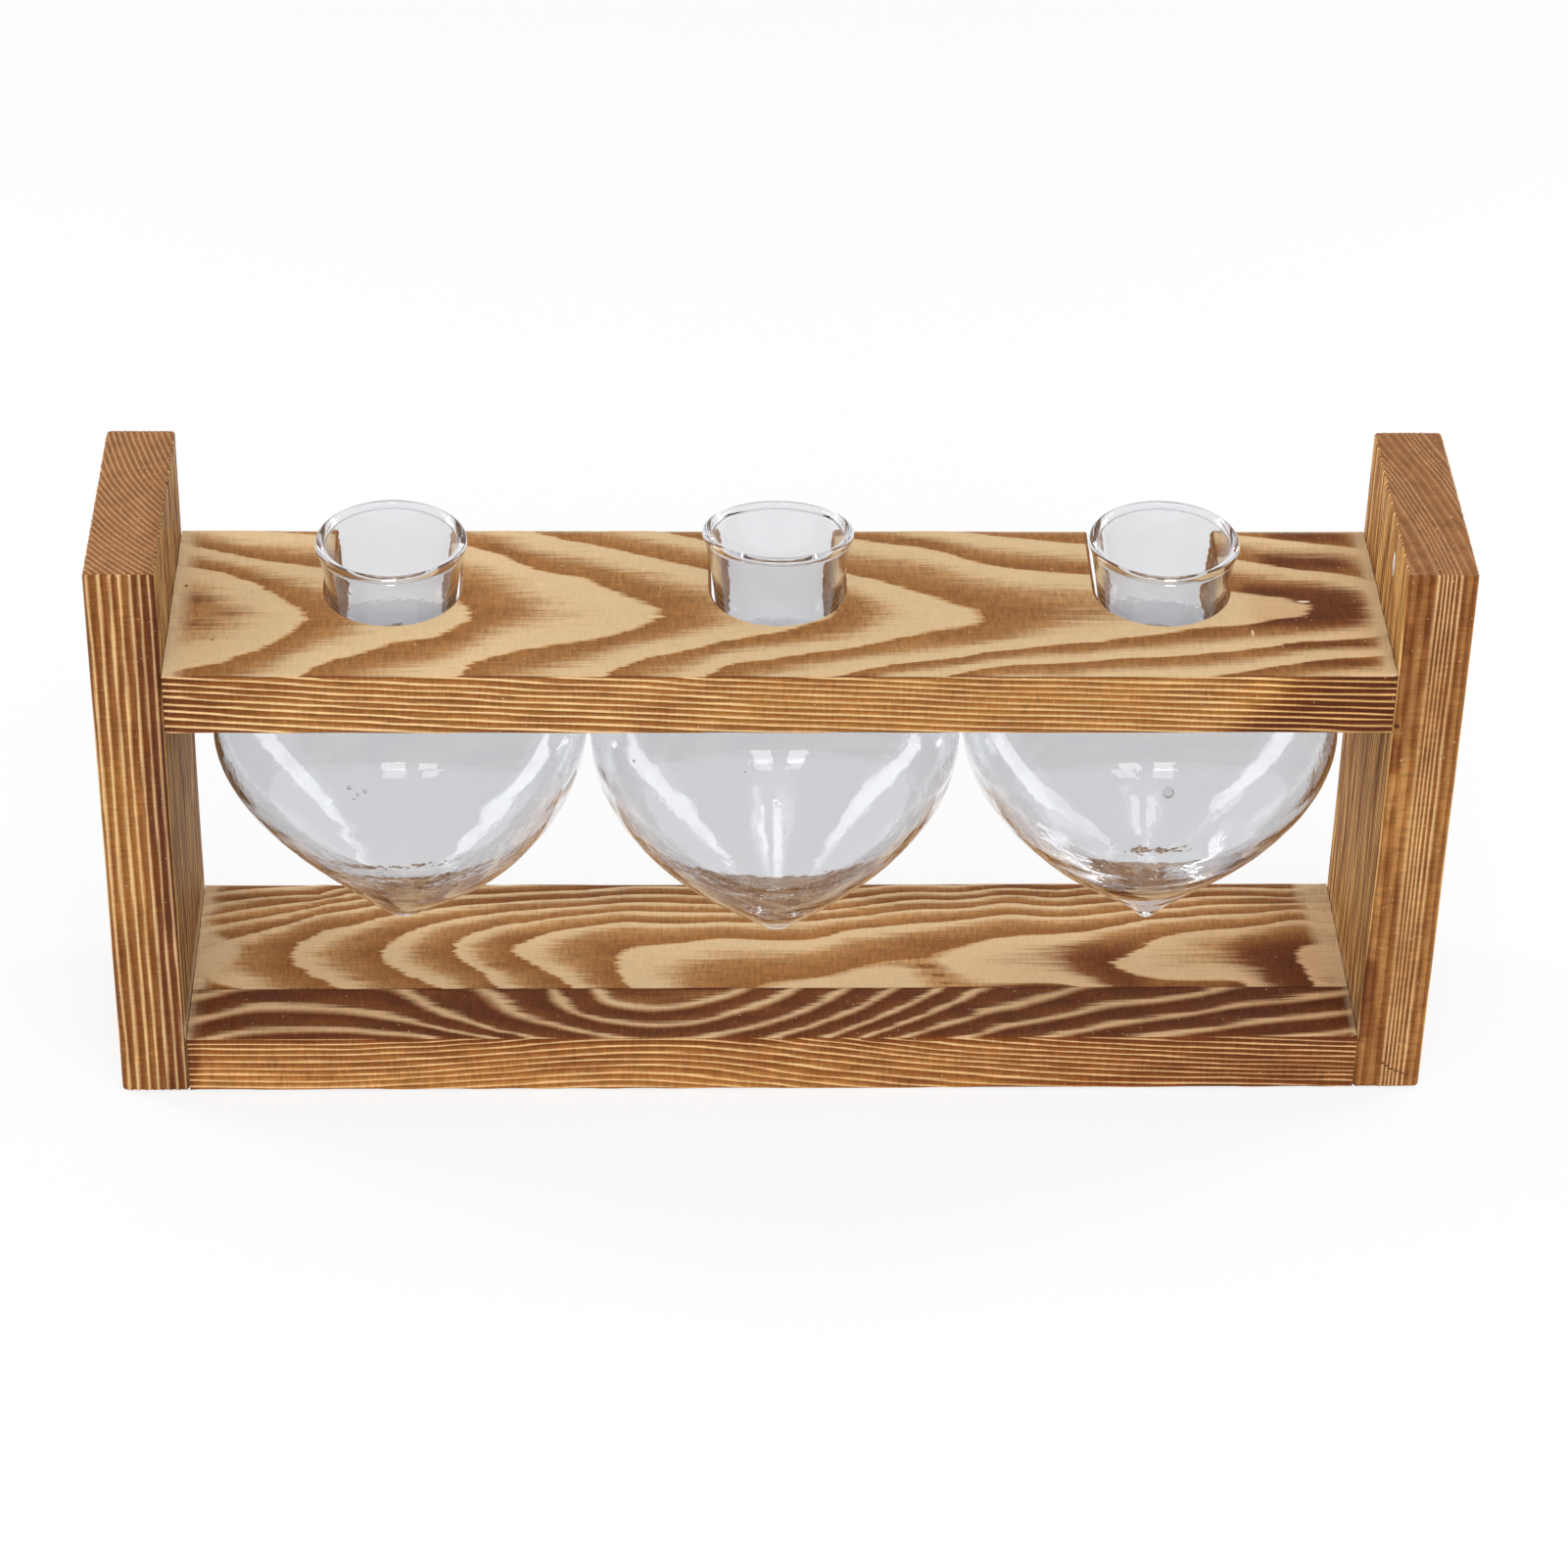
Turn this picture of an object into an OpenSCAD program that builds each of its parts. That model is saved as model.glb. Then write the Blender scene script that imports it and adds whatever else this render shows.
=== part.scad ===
// Stand of torched softwood boards with three blown glass vases that hang by their necks.
// Millimetres. +Z is up, +X runs to the right along the row, and -Y faces the front.
// The origin lies on the underside, below the axis of the middle slot's round end.

/* [Boards] */
// Thickness of every board
board_t = 17; // [15:0.5:19]
// Depth of the boards from front to rear
board_d = 66; // [62:1:76]
// Radius on the eased edges of the boards
board_ease = 1.2; // [0.4:0.1:2]
// Height of the side boards above the top of the shelf
side_rise = 29; // [20:1:36]
// Depth of the front strip that is glued to the base
strip_d = 20.5; // [16:0.5:26]

/* [Slots] */
// Width of each slot in the shelf
slot_w = 32.5; // [30:0.5:34.5]
// Distance from the front of the boards to the axis of the slots' round ends
slot_inset = 39; // [34:1:44]
// Chamfer round the top of each slot
slot_ease = 0.8; // [0.3:0.1:1.4]
// Gap between a slot's wall and the neck, level with the top of the shelf
neck_gap = 0.3; // [0.2:0.05:0.5]

/* [Vases] */
// Largest diameter of each vase
bulb_d = 93.8; // [84:0.2:104]
// Height from the tip of a vase to the top of its shoulder
bulb_h = 78; // [74:1:90]
// Height of a vase's widest ring above its tip
widest_h = 59; // [52:1:62]
// Diameter over the lip
rim_d = 37.1; // [35.5:0.1:40]
// Height of the lip's top above the top of the shelf
rim_rise = 14.3; // [11:0.1:18]
// Thickness of the glass wall
glass_t = 2; // [1.4:0.1:2.6]
// Radius of the rounded lip
lip_r = 1.2; // [1.1:0.05:1.4]
// Radius of the bead at the tip
bead_r = 2.4; // [1.6:0.1:3.2]
// Thickness of the solid glass floor above the tip
floor_t = 12; // [8:0.5:18]
// Radius of the fillet between the shoulder and the neck
neck_fillet = 3; // [1.5:0.25:3.5]
// Lean of the middle vase, with its mouth to the rear, in degrees
middle_lean = 8.6; // [0:0.2:9]

/* [Clearances] */
// Gap between the widest rings of neighbouring vases
bulb_gap = 0.7; // [0.5:0.1:6]
// Gap between an outer vase and the side board beside it
side_gap = 6.6; // [3:0.2:12]
// Gap between the top of a shoulder and the underside of the shelf
shoulder_gap = 4; // [3.6:0.2:7]
// Gap between the tip of an upright vase and the top of the base
tip_gap = 11; // [8:0.5:20]

/* [Screws] */
// Length of a wood screw
screw_len = 38; // [30:1:46]
// Diameter of a screw's shank
shank_d = 4; // [3:0.1:4.5]
// Diameter of a screw's countersunk head
head_d = 8; // [6.5:0.1:9]
// Height of a screw's countersunk head
head_h = 2.6; // [2:0.1:3.2]
// Radial gap round a screw in its hole
screw_gap = 0.05; // [0.03:0.01:0.1]

/* [Hidden] */
$fn = 96;
sides = ["left", "right"];
rows = ["shelf", "base"];
places = ["front", "rear"];
screw_names = [for (s = sides, r = rows, p = places) str("screw_", s, "_", r, "_", p)];

// Overrun of every cut past the surface that it opens
cut_over = 1;

// Heights, from the underside up
base_top = board_t;
tip_z = base_top + tip_gap;
widest_z = tip_z + widest_h;
shoulder_z = tip_z + bulb_h;
shelf_low = shoulder_z + shoulder_gap;
shelf_top = shelf_low + board_t;
lip_z = shelf_top + rim_rise - lip_r;
stand_h = shelf_top + side_rise;

// Places along X
bulb_r = bulb_d / 2;
vase_pitch = bulb_d + bulb_gap;
inner_x = vase_pitch + bulb_r + side_gap;
outer_x = inner_x + board_t;

// Places along Y
front_y = -slot_inset;
rear_y = front_y + board_d;
glue_y = front_y + strip_d;
screw_y = [front_y + strip_d / 2, (glue_y + rear_y) / 2];
screw_z = [shelf_low + board_t / 2, board_t / 2];

// Radii of the neck. The flare passes the top of the shelf one gap inside the slot.
slot_r = slot_w / 2;
mouth_r = rim_d / 2 - lip_r + glass_t / 2;
flare_power = 2;
flare_share = pow((shelf_top - shelf_low) / (lip_z - shelf_low), flare_power);
waist_r = (slot_r - neck_gap - flare_share * mouth_r) / (1 - flare_share);

// Shape of the glass: how full the flank is, how sharp it runs in to the tip, and its inside
flank_power = 1.8;
point_power = 1.08;
inner_power = 0.8;
flank_steps = 28;
shoulder_steps = 12;
fillet_steps = 5;
flare_steps = 14;
lip_steps = 10;
bead_steps = 5;

// Sizes of the cross recess in a screw head
recess_l = head_d * 0.55;
recess_w = head_d * 0.12;
recess_h = head_h * 0.6;
point_h = shank_d * 1.2;

// Colours
torched_edge = [0.66, 0.45, 0.25];
torched_face = [0.60, 0.38, 0.20];
clear_glass = [0.80, 0.84, 0.86, 0.5];
plated_steel = [0.72, 0.70, 0.62];

// Rectangle with round corners, from the origin to [w, h].
module eased_rectangle(w, h, r) {
    translate([r, 0]) square([w - 2 * r, h]);
    translate([0, r]) square([w, h - 2 * r]);
    for (x = [r, w - r], y = [r, h - r]) translate([x, y]) circle(r);
}

// Extrusion along X from x0 to x1 of a section drawn in Y and Z.
module along_x(x0, x1) {
    translate([x0, 0, 0]) rotate([90, 0, 90]) linear_extrude(x1 - x0) children();
}

// Rectangular block with all twelve edges eased: where three eased extrusions meet.
module eased_block(size, r) {
    intersection() {
        linear_extrude(size.z) eased_rectangle(size.x, size.y, r);
        along_x(0, size.x) eased_rectangle(size.y, size.z, r);
        translate([0, size.y, 0]) rotate([90, 0, 0])
            linear_extrude(size.y) eased_rectangle(size.x, size.z, r);
    }
}

// Points of an arc from angle a0 to angle a1.
function arc(cx, cy, r, a0, a1, steps) =
    [for (i = [0 : steps]) let (a = a0 + (a1 - a0) * i / steps) [cx + r * cos(a), cy + r * sin(a)]];

// Radius of the flank as a share of the widest radius, at share s of the way up from the tip.
function flank(s, point) = pow(1 - pow(1 - s, flank_power), point);

// Share of the way up at which the flank is as wide as share k of the widest radius.
function flank_at(k, point) = 1 - pow(1 - pow(k, 1 / point), 1 / flank_power);

// Flank from the height z0, where its radius is r0, up to the widest ring of radius r1.
function flank_points(r0, r1, z0, point) =
    let (s0 = flank_at(r0 / r1, point))
    [for (i = [0 : flank_steps])
        let (f = i / flank_steps, s = s0 + (1 - s0) * f)
        [r1 * flank(s, point), z0 + (widest_z - z0) * f]];

// Quarter ellipse from the widest ring of radius r1 in to the neck's fillet at height z1.
function shoulder_points(r1, z1) =
    let (r0 = waist_r + neck_fillet)
    [for (i = [1 : shoulder_steps - 1])
        let (a = 90 * i / shoulder_steps)
        [r0 + (r1 - r0) * cos(a), widest_z + (z1 - widest_z) * sin(a)]];

// Flare from the underside of the shelf up to the lip, with its radius reduced by inset.
function flare_points(inset) =
    [for (i = [0 : flare_steps - 1])
        let (t = i / flare_steps)
        [waist_r + (mouth_r - waist_r) * pow(t, flare_power) - inset, shelf_low + (lip_z - shelf_low) * t]];

function reversed(points) = [for (i = [len(points) - 1 : -1 : 0]) points[i]];

// Half section of a vase: up the outside, over the lip and down the inside.
function vase_outline() =
    let (
        fillet_z = shoulder_z + neck_fillet,
        fillet_x = waist_r + neck_fillet,
        lip_angle = acos(glass_t / 2 / lip_r),
        inside_floor = tip_z + floor_t
    )
    concat(
        arc(0, tip_z + bead_r, bead_r, -90, -90 / bead_steps, bead_steps - 1),
        flank_points(bead_r, bulb_r, tip_z + bead_r, point_power),
        shoulder_points(bulb_r, shoulder_z),
        arc(fillet_x, fillet_z, neck_fillet, -90, -180, fillet_steps),
        flare_points(0),
        arc(rim_d / 2 - lip_r, lip_z, lip_r, -lip_angle, 180 + lip_angle, lip_steps),
        reversed(flare_points(glass_t)),
        arc(fillet_x, fillet_z, neck_fillet + glass_t, -180, -90, fillet_steps),
        reversed(shoulder_points(bulb_r - glass_t, shoulder_z - glass_t)),
        reversed(flank_points(0, bulb_r - glass_t, inside_floor, inner_power))
    );

module vase(x) {
    translate([x, 0, 0]) rotate_extrude() polygon(vase_outline());
}

// A vase that leans about a level line half-way up the shelf, clear of the slot's round end.
module leaning_vase(x, lean) {
    pivot_z = shelf_low + board_t / 2;
    translate([0, board_t / 2 * tan(lean), pivot_z])
        rotate([-lean, 0, 0])
            translate([0, 0, -pivot_z]) vase(x);
}

// Solid that a screw fills or, with a gap, its hole: the head at the origin, the point along +Z.
module screw_body(gap, tail) {
    rotate_extrude() polygon([
        [0, 0],
        [head_d / 2 + gap, 0],
        [shank_d / 2 + gap, head_h],
        [shank_d / 2 + gap, screw_len - point_h + tail],
        [0, screw_len + tail]
    ]);
}

// Turns a screw or hole drawn along +Z so that it runs inwards from the left or right side.
module from_side(side, row, place) {
    translate([(side == 0 ? -1 : 1) * outer_x, screw_y[place], screw_z[row]])
        rotate([0, side == 0 ? 90 : -90, 0]) children();
}

module screw(side, row, place) {
    color(plated_steel) from_side(side, row, place) difference() {
        screw_body(0, 0);
        for (turn = [0, 90]) rotate(turn)
            translate([-recess_l / 2, -recess_w / 2, -cut_over])
                cube([recess_l, recess_w, recess_h + cut_over]);
    }
}

module screw_holes() {
    for (side = [0, 1], row = [0, 1], place = [0, 1]) from_side(side, row, place)
        screw_body(screw_gap, cut_over);
}

module side_board(side) {
    difference() {
        translate([side == 0 ? -outer_x : inner_x, front_y, 0])
            eased_block([board_t, board_d, stand_h], board_ease);
        screw_holes();
    }
}

module side_left() {
    color(torched_edge) side_board(0);
}

module side_right() {
    color(torched_edge) side_board(1);
}

// Slot with a round front end, open to the rear, chamfered round its top.
module slot(x) {
    reach = rear_y + cut_over;
    wide_r = slot_r + slot_ease + cut_over;
    translate([x, 0, 0]) {
        translate([0, 0, shelf_low - cut_over]) cylinder(r = slot_r, h = board_t + 2 * cut_over);
        translate([-slot_r, 0, shelf_low - cut_over]) cube([slot_w, reach, board_t + 2 * cut_over]);
        translate([0, 0, shelf_top - slot_ease]) {
            cylinder(r1 = slot_r, r2 = wide_r, h = slot_ease + cut_over);
            translate([0, reach, 0]) rotate([90, 0, 0]) linear_extrude(reach) polygon([
                [-slot_r, 0],
                [slot_r, 0],
                [wide_r, slot_ease + cut_over],
                [-wide_r, slot_ease + cut_over]
            ]);
        }
    }
}

module shelf() {
    color(torched_face) difference() {
        translate([0, front_y, shelf_low])
            along_x(-inner_x, inner_x) eased_rectangle(board_d, board_t, board_ease);
        for (place = [-1, 0, 1]) slot(place * vase_pitch);
        screw_holes();
    }
}

// The part of the base between two depths. Its glued face stays square.
module base_piece(y0, y1) {
    difference() {
        along_x(-inner_x, inner_x) intersection() {
            translate([front_y, 0]) eased_rectangle(board_d, board_t, board_ease);
            translate([y0, 0]) square([y1 - y0, board_t]);
        }
        screw_holes();
    }
}

module base_rear_plank() {
    color(torched_face) base_piece(glue_y, rear_y);
}

module base_front_strip() {
    color(torched_edge) base_piece(front_y, glue_y);
}

module vase_left() {
    color(clear_glass) vase(-vase_pitch);
}

module vase_middle() {
    color(clear_glass) leaning_vase(0, middle_lean);
}

module vase_right() {
    color(clear_glass) vase(vase_pitch);
}

side_left();
side_right();
shelf();
base_rear_plank();
base_front_strip();
vase_left();
vase_middle();
vase_right();
for (side = [0, 1], row = [0, 1], place = [0, 1])
    screw(side, row, place);
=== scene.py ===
"""Looks of a torched wood stand with three blown glass vases that hang by their necks.

Laid out as an add-on and run as a script. Lengths in the tables and profiles are millimetres;
meshes are written in metres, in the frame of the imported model: +X to the right along the row,
+Z up, and -Y to the front.
"""

import math

import bmesh
import bpy
import numpy as np
from bpy.props import FloatProperty, FloatVectorProperty, IntProperty, PointerProperty
from mathutils import Matrix, Vector


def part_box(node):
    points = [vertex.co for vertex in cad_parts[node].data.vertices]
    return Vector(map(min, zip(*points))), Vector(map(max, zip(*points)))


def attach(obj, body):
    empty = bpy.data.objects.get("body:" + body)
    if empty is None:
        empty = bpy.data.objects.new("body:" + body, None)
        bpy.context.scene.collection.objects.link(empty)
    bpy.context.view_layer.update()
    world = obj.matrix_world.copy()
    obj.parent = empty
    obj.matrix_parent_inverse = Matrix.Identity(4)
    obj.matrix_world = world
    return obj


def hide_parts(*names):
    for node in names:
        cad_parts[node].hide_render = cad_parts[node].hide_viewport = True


bl_info = {
    "name": "Torched Stand With Glass Vases",
    "version": (1, 0, 0),
    "blender": (4, 5, 0),
    "location": "View3D > Sidebar > Vase Stand",
    "description": "Dresses a wooden stand and its three hanging glass vases",
    "category": "Object",
}

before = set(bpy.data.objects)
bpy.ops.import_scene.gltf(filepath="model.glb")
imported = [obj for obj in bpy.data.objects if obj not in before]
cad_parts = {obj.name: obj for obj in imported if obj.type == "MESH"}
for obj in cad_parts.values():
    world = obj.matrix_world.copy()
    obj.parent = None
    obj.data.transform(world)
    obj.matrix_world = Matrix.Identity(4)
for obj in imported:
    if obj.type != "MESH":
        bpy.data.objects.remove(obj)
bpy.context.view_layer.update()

# Sizes
MM = 0.001
METRE = 1000.0


def millimetres(node):
    """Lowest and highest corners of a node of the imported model, in millimetres."""
    low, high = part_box(node)
    return np.array(low) * METRE, np.array(high) * METRE


SHELF_LOW, SHELF_HIGH = millimetres("shelf")
STRIP_LOW, STRIP_HIGH = millimetres("base_front_strip")
PLANK_LOW, PLANK_HIGH = millimetres("base_rear_plank")
LEFT_LOW, LEFT_HIGH = millimetres("side_left")
RIGHT_LOW, RIGHT_HIGH = millimetres("side_right")
BASE_LOW = STRIP_LOW
BASE_HIGH = PLANK_HIGH
BOARD_T = SHELF_HIGH[2] - SHELF_LOW[2]
INNER_X = SHELF_HIGH[0]
FRONT_Y = SHELF_LOW[1]
REAR_Y = SHELF_HIGH[1]
SHELF_TOP = SHELF_HIGH[2]
BASE_TOP = PLANK_HIGH[2]
VASE_X = {name: float(sum(millimetres(name))[0] / 2) for name in ("vase_left", "vase_middle", "vase_right")}
# Radius of the shelf's slots, and the size of the chamfer round their tops
SLOT_R = 16.25
SLOT_EASE = 0.8


def linear(red, green, blue):
    """Scene colour of a display colour given from 0 to 255."""
    share = np.array([red, green, blue]) / 255
    low = share / 12.92
    high = ((share + 0.055) / 1.055) ** 2.4
    return tuple(float(v) for v in np.where(share <= 0.04045, low, high))


# Settings that a user would change
class BoardSettings(bpy.types.PropertyGroup):
    """Edges, relief and tones of the torched boards."""

    ease: FloatProperty(name="Eased Edge", description="Radius on the boards' edges", default=1.2 * MM,
                        min=0.0, unit="LENGTH")
    relief: FloatProperty(name="Relief", description="Depth that brushing left between the hard lines",
                          default=0.16 * MM, min=0.0, unit="LENGTH")
    pale: FloatVectorProperty(name="Pale Lines", description="Colour of the hard, pale part of a ring",
                              subtype="COLOR", default=linear(216, 185, 142), min=0.0, max=1.0)
    brown: FloatVectorProperty(name="Toasted Wood", description="Colour of lightly torched wood",
                               subtype="COLOR", default=linear(188, 143, 92), min=0.0, max=1.0)
    dark: FloatVectorProperty(name="Torched Wood", description="Colour of well torched wood",
                              subtype="COLOR", default=linear(152, 102, 55), min=0.0, max=1.0)
    char: FloatVectorProperty(name="Scorched Wood", description="Colour of the darkest patches",
                              subtype="COLOR", default=linear(76, 36, 17), min=0.0, max=1.0)


class GlassSettings(bpy.types.PropertyGroup):
    """Wall, waves and tint of the blown vases."""

    wall: FloatProperty(name="Neck Wall", description="Thickness of the glass in the neck",
                        default=2.0 * MM, min=0.5 * MM, unit="LENGTH")
    bulb_wall: FloatProperty(name="Bulb Wall", description="Thickness of the glass in the blown bulb",
                             default=1.0 * MM, min=0.5 * MM, unit="LENGTH")
    wave: FloatProperty(name="Waves", description="Height of the slow waves in the blown wall",
                        default=0.12 * MM, min=0.0, unit="LENGTH")
    tint: FloatVectorProperty(name="Tint", description="Colour that a wall of the glass lets through",
                              subtype="COLOR", default=(0.80, 0.808, 0.826), min=0.0, max=1.0)
    segments: IntProperty(name="Segments", description="Faces round each vase", default=228, min=48)


class StageSettings(bpy.types.PropertyGroup):
    """Floor, lamps and camera."""

    fill: FloatProperty(name="Room Light", description="Even light from all round", default=0.5, min=0.0)
    side: FloatProperty(name="Side Lamps", description="Strength of the two tall side lamps",
                        default=5.2, min=0.0)
    top: FloatProperty(name="Top Lamps", description="Strength of the two long lamps overhead",
                       default=3.0, min=0.0)
    front: FloatProperty(name="Front Lamp", description="Strength of the wide, soft lamp at the front",
                         default=13.5, min=0.0)


# Number patterns on whole arrays
def smooth_step(low, high, value):
    """0 below low, 1 above high, and an S-shaped curve between."""
    share = np.clip((value - low) / (high - low), 0, 1)
    return share * share * (3 - 2 * share)


def ripple(seed, sizes, *places):
    """Gentle noise from about -1 to 1: a sum of sines whose directions and phases a seed sets.

    sizes are the typical lengths of a wave along each of the places, in millimetres.
    """
    draw = np.random.default_rng(seed)
    total = 0.0
    waves = 6
    for _ in range(waves):
        turns = draw.uniform(0.5, 1.6, len(places)) * draw.choice([-1, 1], len(places))
        angle = draw.uniform(0, 2 * math.pi)
        for turn, size, place in zip(turns, sizes, places):
            angle = angle + 2 * math.pi * turn * place / size
        total = total + np.sin(angle)
    return total / math.sqrt(waves / 2) / 2


def spot(along, across, centre, size):
    """1 at a centre, falling to 0 smoothly outside an ellipse of the given half sizes."""
    distance = np.hypot((along - centre[0]) / size[0], (across - centre[1]) / size[1])
    return 1 - smooth_step(0.55, 1.15, distance)


def patch(along, across, low, high, soft):
    """1 inside a rectangle and 0 outside, with rounded corners and a soft rim."""
    centre = (np.array(low) + np.array(high)) / 2
    half = (np.array(high) - np.array(low)) / 2
    out = np.hypot(np.maximum(np.abs(along - centre[0]) - half[0] + soft, 0),
                   np.maximum(np.abs(across - centre[1]) - half[1] + soft, 0))
    return 1 - smooth_step(0, 2 * soft, out)


class RingCount:
    """Count of growth rings over a flat face, as a thin plate bent through its ring lines.

    The count at a place is a plane plus the sum, over the lines' points, of a weight times r^2 log r,
    where r is the distance to the point. The weights make the count come out whole on every line.
    """

    stiffness = 4.0

    def __init__(self, lines, tall=1.0):
        self.scale = np.array([1.0, tall])
        self.points = np.array([point for line in lines.values() for point in line]) * self.scale
        counts = np.array([count for count, line in lines.items() for _ in line], float)
        size = len(self.points)
        plane = np.column_stack([np.ones(size), self.points])
        bend = self.kernel(self.points) + self.stiffness * np.eye(size)
        system = np.block([[bend, plane], [plane.T, np.zeros((3, 3))]])
        self.weights = np.linalg.solve(system, np.concatenate([counts, np.zeros(3)]))

    def kernel(self, places):
        """r^2 log r from each place to each point of the lines."""
        square = ((places[:, None, :] - self.points[None, :, :]) ** 2).sum(2)
        return 0.5 * square * np.log(square + 1e-9)

    def at(self, along, across):
        """Ring count at arrays of places."""
        places = np.column_stack([along, across]) * self.scale
        parts = np.array_split(places, max(1, len(places) // 20000))
        bent = np.concatenate([self.kernel(part) @ self.weights[:-3] for part in parts])
        return bent + self.weights[-3] + places @ self.weights[-2:]


# Ring lines, read one by one: {count: [(mm from the left end, mm from the rear edge), ...]}.
# The count is whole on a line, and rises outwards through the pale wood to the line's sharp side.
SHELF_LINES = {
    1: [(2, 17), (9, 19), (17, 23), (24, 29), (30, 35), (34, 40), (32, 43), (28, 49), (24, 53),
        (15, 59), (5, 63), (0, 65)],
    2: [(5, 8.5), (12, 11), (20, 14), (33, 17), (50, 22), (66, 29), (73, 37), (72, 42), (64, 49),
        (57, 51), (50, 54), (45, 57), (38, 60), (33, 66)],
    3: [(20, 0), (50, 4), (70, 7), (80, 12), (90, 19), (100, 22), (109, 29), (118, 36), (119, 40),
        (117, 43), (106, 49), (95, 52), (82, 56), (73, 61), (71, 66)],
    4: [(90, 2), (110, 10), (130, 18), (150, 28), (163, 37), (158, 42), (147, 47), (130, 53),
        (115, 58), (105, 66)],
    5: [(118, 0), (130, 5), (150, 13), (167, 21), (180, 27), (195, 36), (198, 40), (195, 44),
        (183, 47), (170, 52), (155, 56), (135, 61), (130, 66)],
    6: [(150, 0), (167, 4), (187, 9), (198, 15), (213, 19), (222, 20), (245, 25), (268, 30), (278, 34),
        (276, 40), (260, 44), (240, 48), (225, 51), (205, 54), (190, 58), (174, 61), (160, 66)],
    7: [(192, 0), (210, 4), (222, 6), (250, 11), (277, 18), (293, 22), (293, 49), (275, 51),
        (250, 56), (230, 58), (205, 61), (195, 63), (187, 66)],
    8: [(250, 0), (277, 5), (293, 8), (293, 57), (285, 58), (270, 61), (250, 66)],
}
PLANK_LINES = {
    1: [(290, 17), (280, 18), (262, 21), (250, 24), (241, 31), (236, 36), (241, 40), (252, 43), (270, 45)],
    2: [(285, 12), (262, 14.5), (250, 16), (232, 21), (214, 23), (203, 25.5), (191, 31), (189, 36),
        (192, 41), (200, 44), (228, 46)],
    3: [(285, 9.5), (255, 11.5), (240, 13), (220, 15), (190, 17.5), (170, 20.5), (160, 24.5), (147, 25),
        (125, 26), (113, 28), (108, 36), (110, 43), (112, 46)],
    4: [(285, 7), (250, 8), (210, 9), (185, 12), (165, 15.5), (150, 17), (135, 17), (110, 17),
        (93, 20.5), (85, 25), (80, 29.5), (84, 33), (91, 39), (97, 46)],
    5: [(285, 3), (230, 6), (190, 7.5), (165, 12), (132, 13), (105, 13), (85, 17), (72, 21), (66, 31),
        (70, 35), (76, 42), (78, 46)],
    6: [(225, 3.5), (195, 4.5), (160, 8), (140, 9.5), (100, 10), (80, 12.5), (62, 17), (50, 25), (47, 31),
        (52, 38), (63, 46)],
    7: [(200, 1), (170, 3), (135, 6), (100, 6.5), (75, 9), (58, 12), (40, 18), (27, 25), (24, 31),
        (30, 40), (38, 46)],
    8: [(100, 3), (70, 5), (47, 9), (30, 14), (20, 19), (5, 25), (0, 30), (0, 36), (12, 46)],
    9: [(70, 1.5), (50, 4.5), (33, 9), (18, 14), (2, 18.5)],
    10: [(60, -1), (50, 2), (27, 8), (2, 14)],
    11: [(50, -1), (30, 5), (2, 9)],
    12: [(30, 0), (2, 4)],
}
STRIP_LINES = {
    1: [(101, 47), (103, 51), (108, 54), (115, 55.5), (122, 55), (130, 53), (137, 50), (142, 47)],
    2: [(90, 47), (90, 50), (93, 54), (98, 57), (110, 61), (120, 62), (130, 60.5), (140, 56), (147, 53),
        (155, 47)],
    3: [(71, 47), (77, 54), (82, 58), (90, 61), (105, 66), (133, 66), (140, 64), (150, 60), (160, 54),
        (168, 47)],
    4: [(51, 47), (55, 51), (65, 58), (78, 64), (85, 66), (152, 65), (162, 60), (172, 54), (180, 47)],
    5: [(3, 60), (8, 58), (15, 55.5), (30, 55.5), (40, 56.5), (50, 59), (64, 63), (78, 66), (163, 66),
        (172, 61), (183, 54), (192, 47)],
    6: [(10, 66), (20, 64.5), (40, 64), (60, 66), (172, 66), (185, 59), (195, 53), (203, 47)],
    7: [(183, 66), (197, 60), (210, 55), (220, 51), (228, 47)],
    8: [(200, 66), (210, 62), (225, 58), (245, 53), (258, 50), (270, 46)],
    9: [(222, 66), (232, 63), (245, 60), (262, 56), (280, 53), (294, 50)],
    10: [(250, 66), (265, 63), (280, 60), (294, 58)],
}
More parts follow.
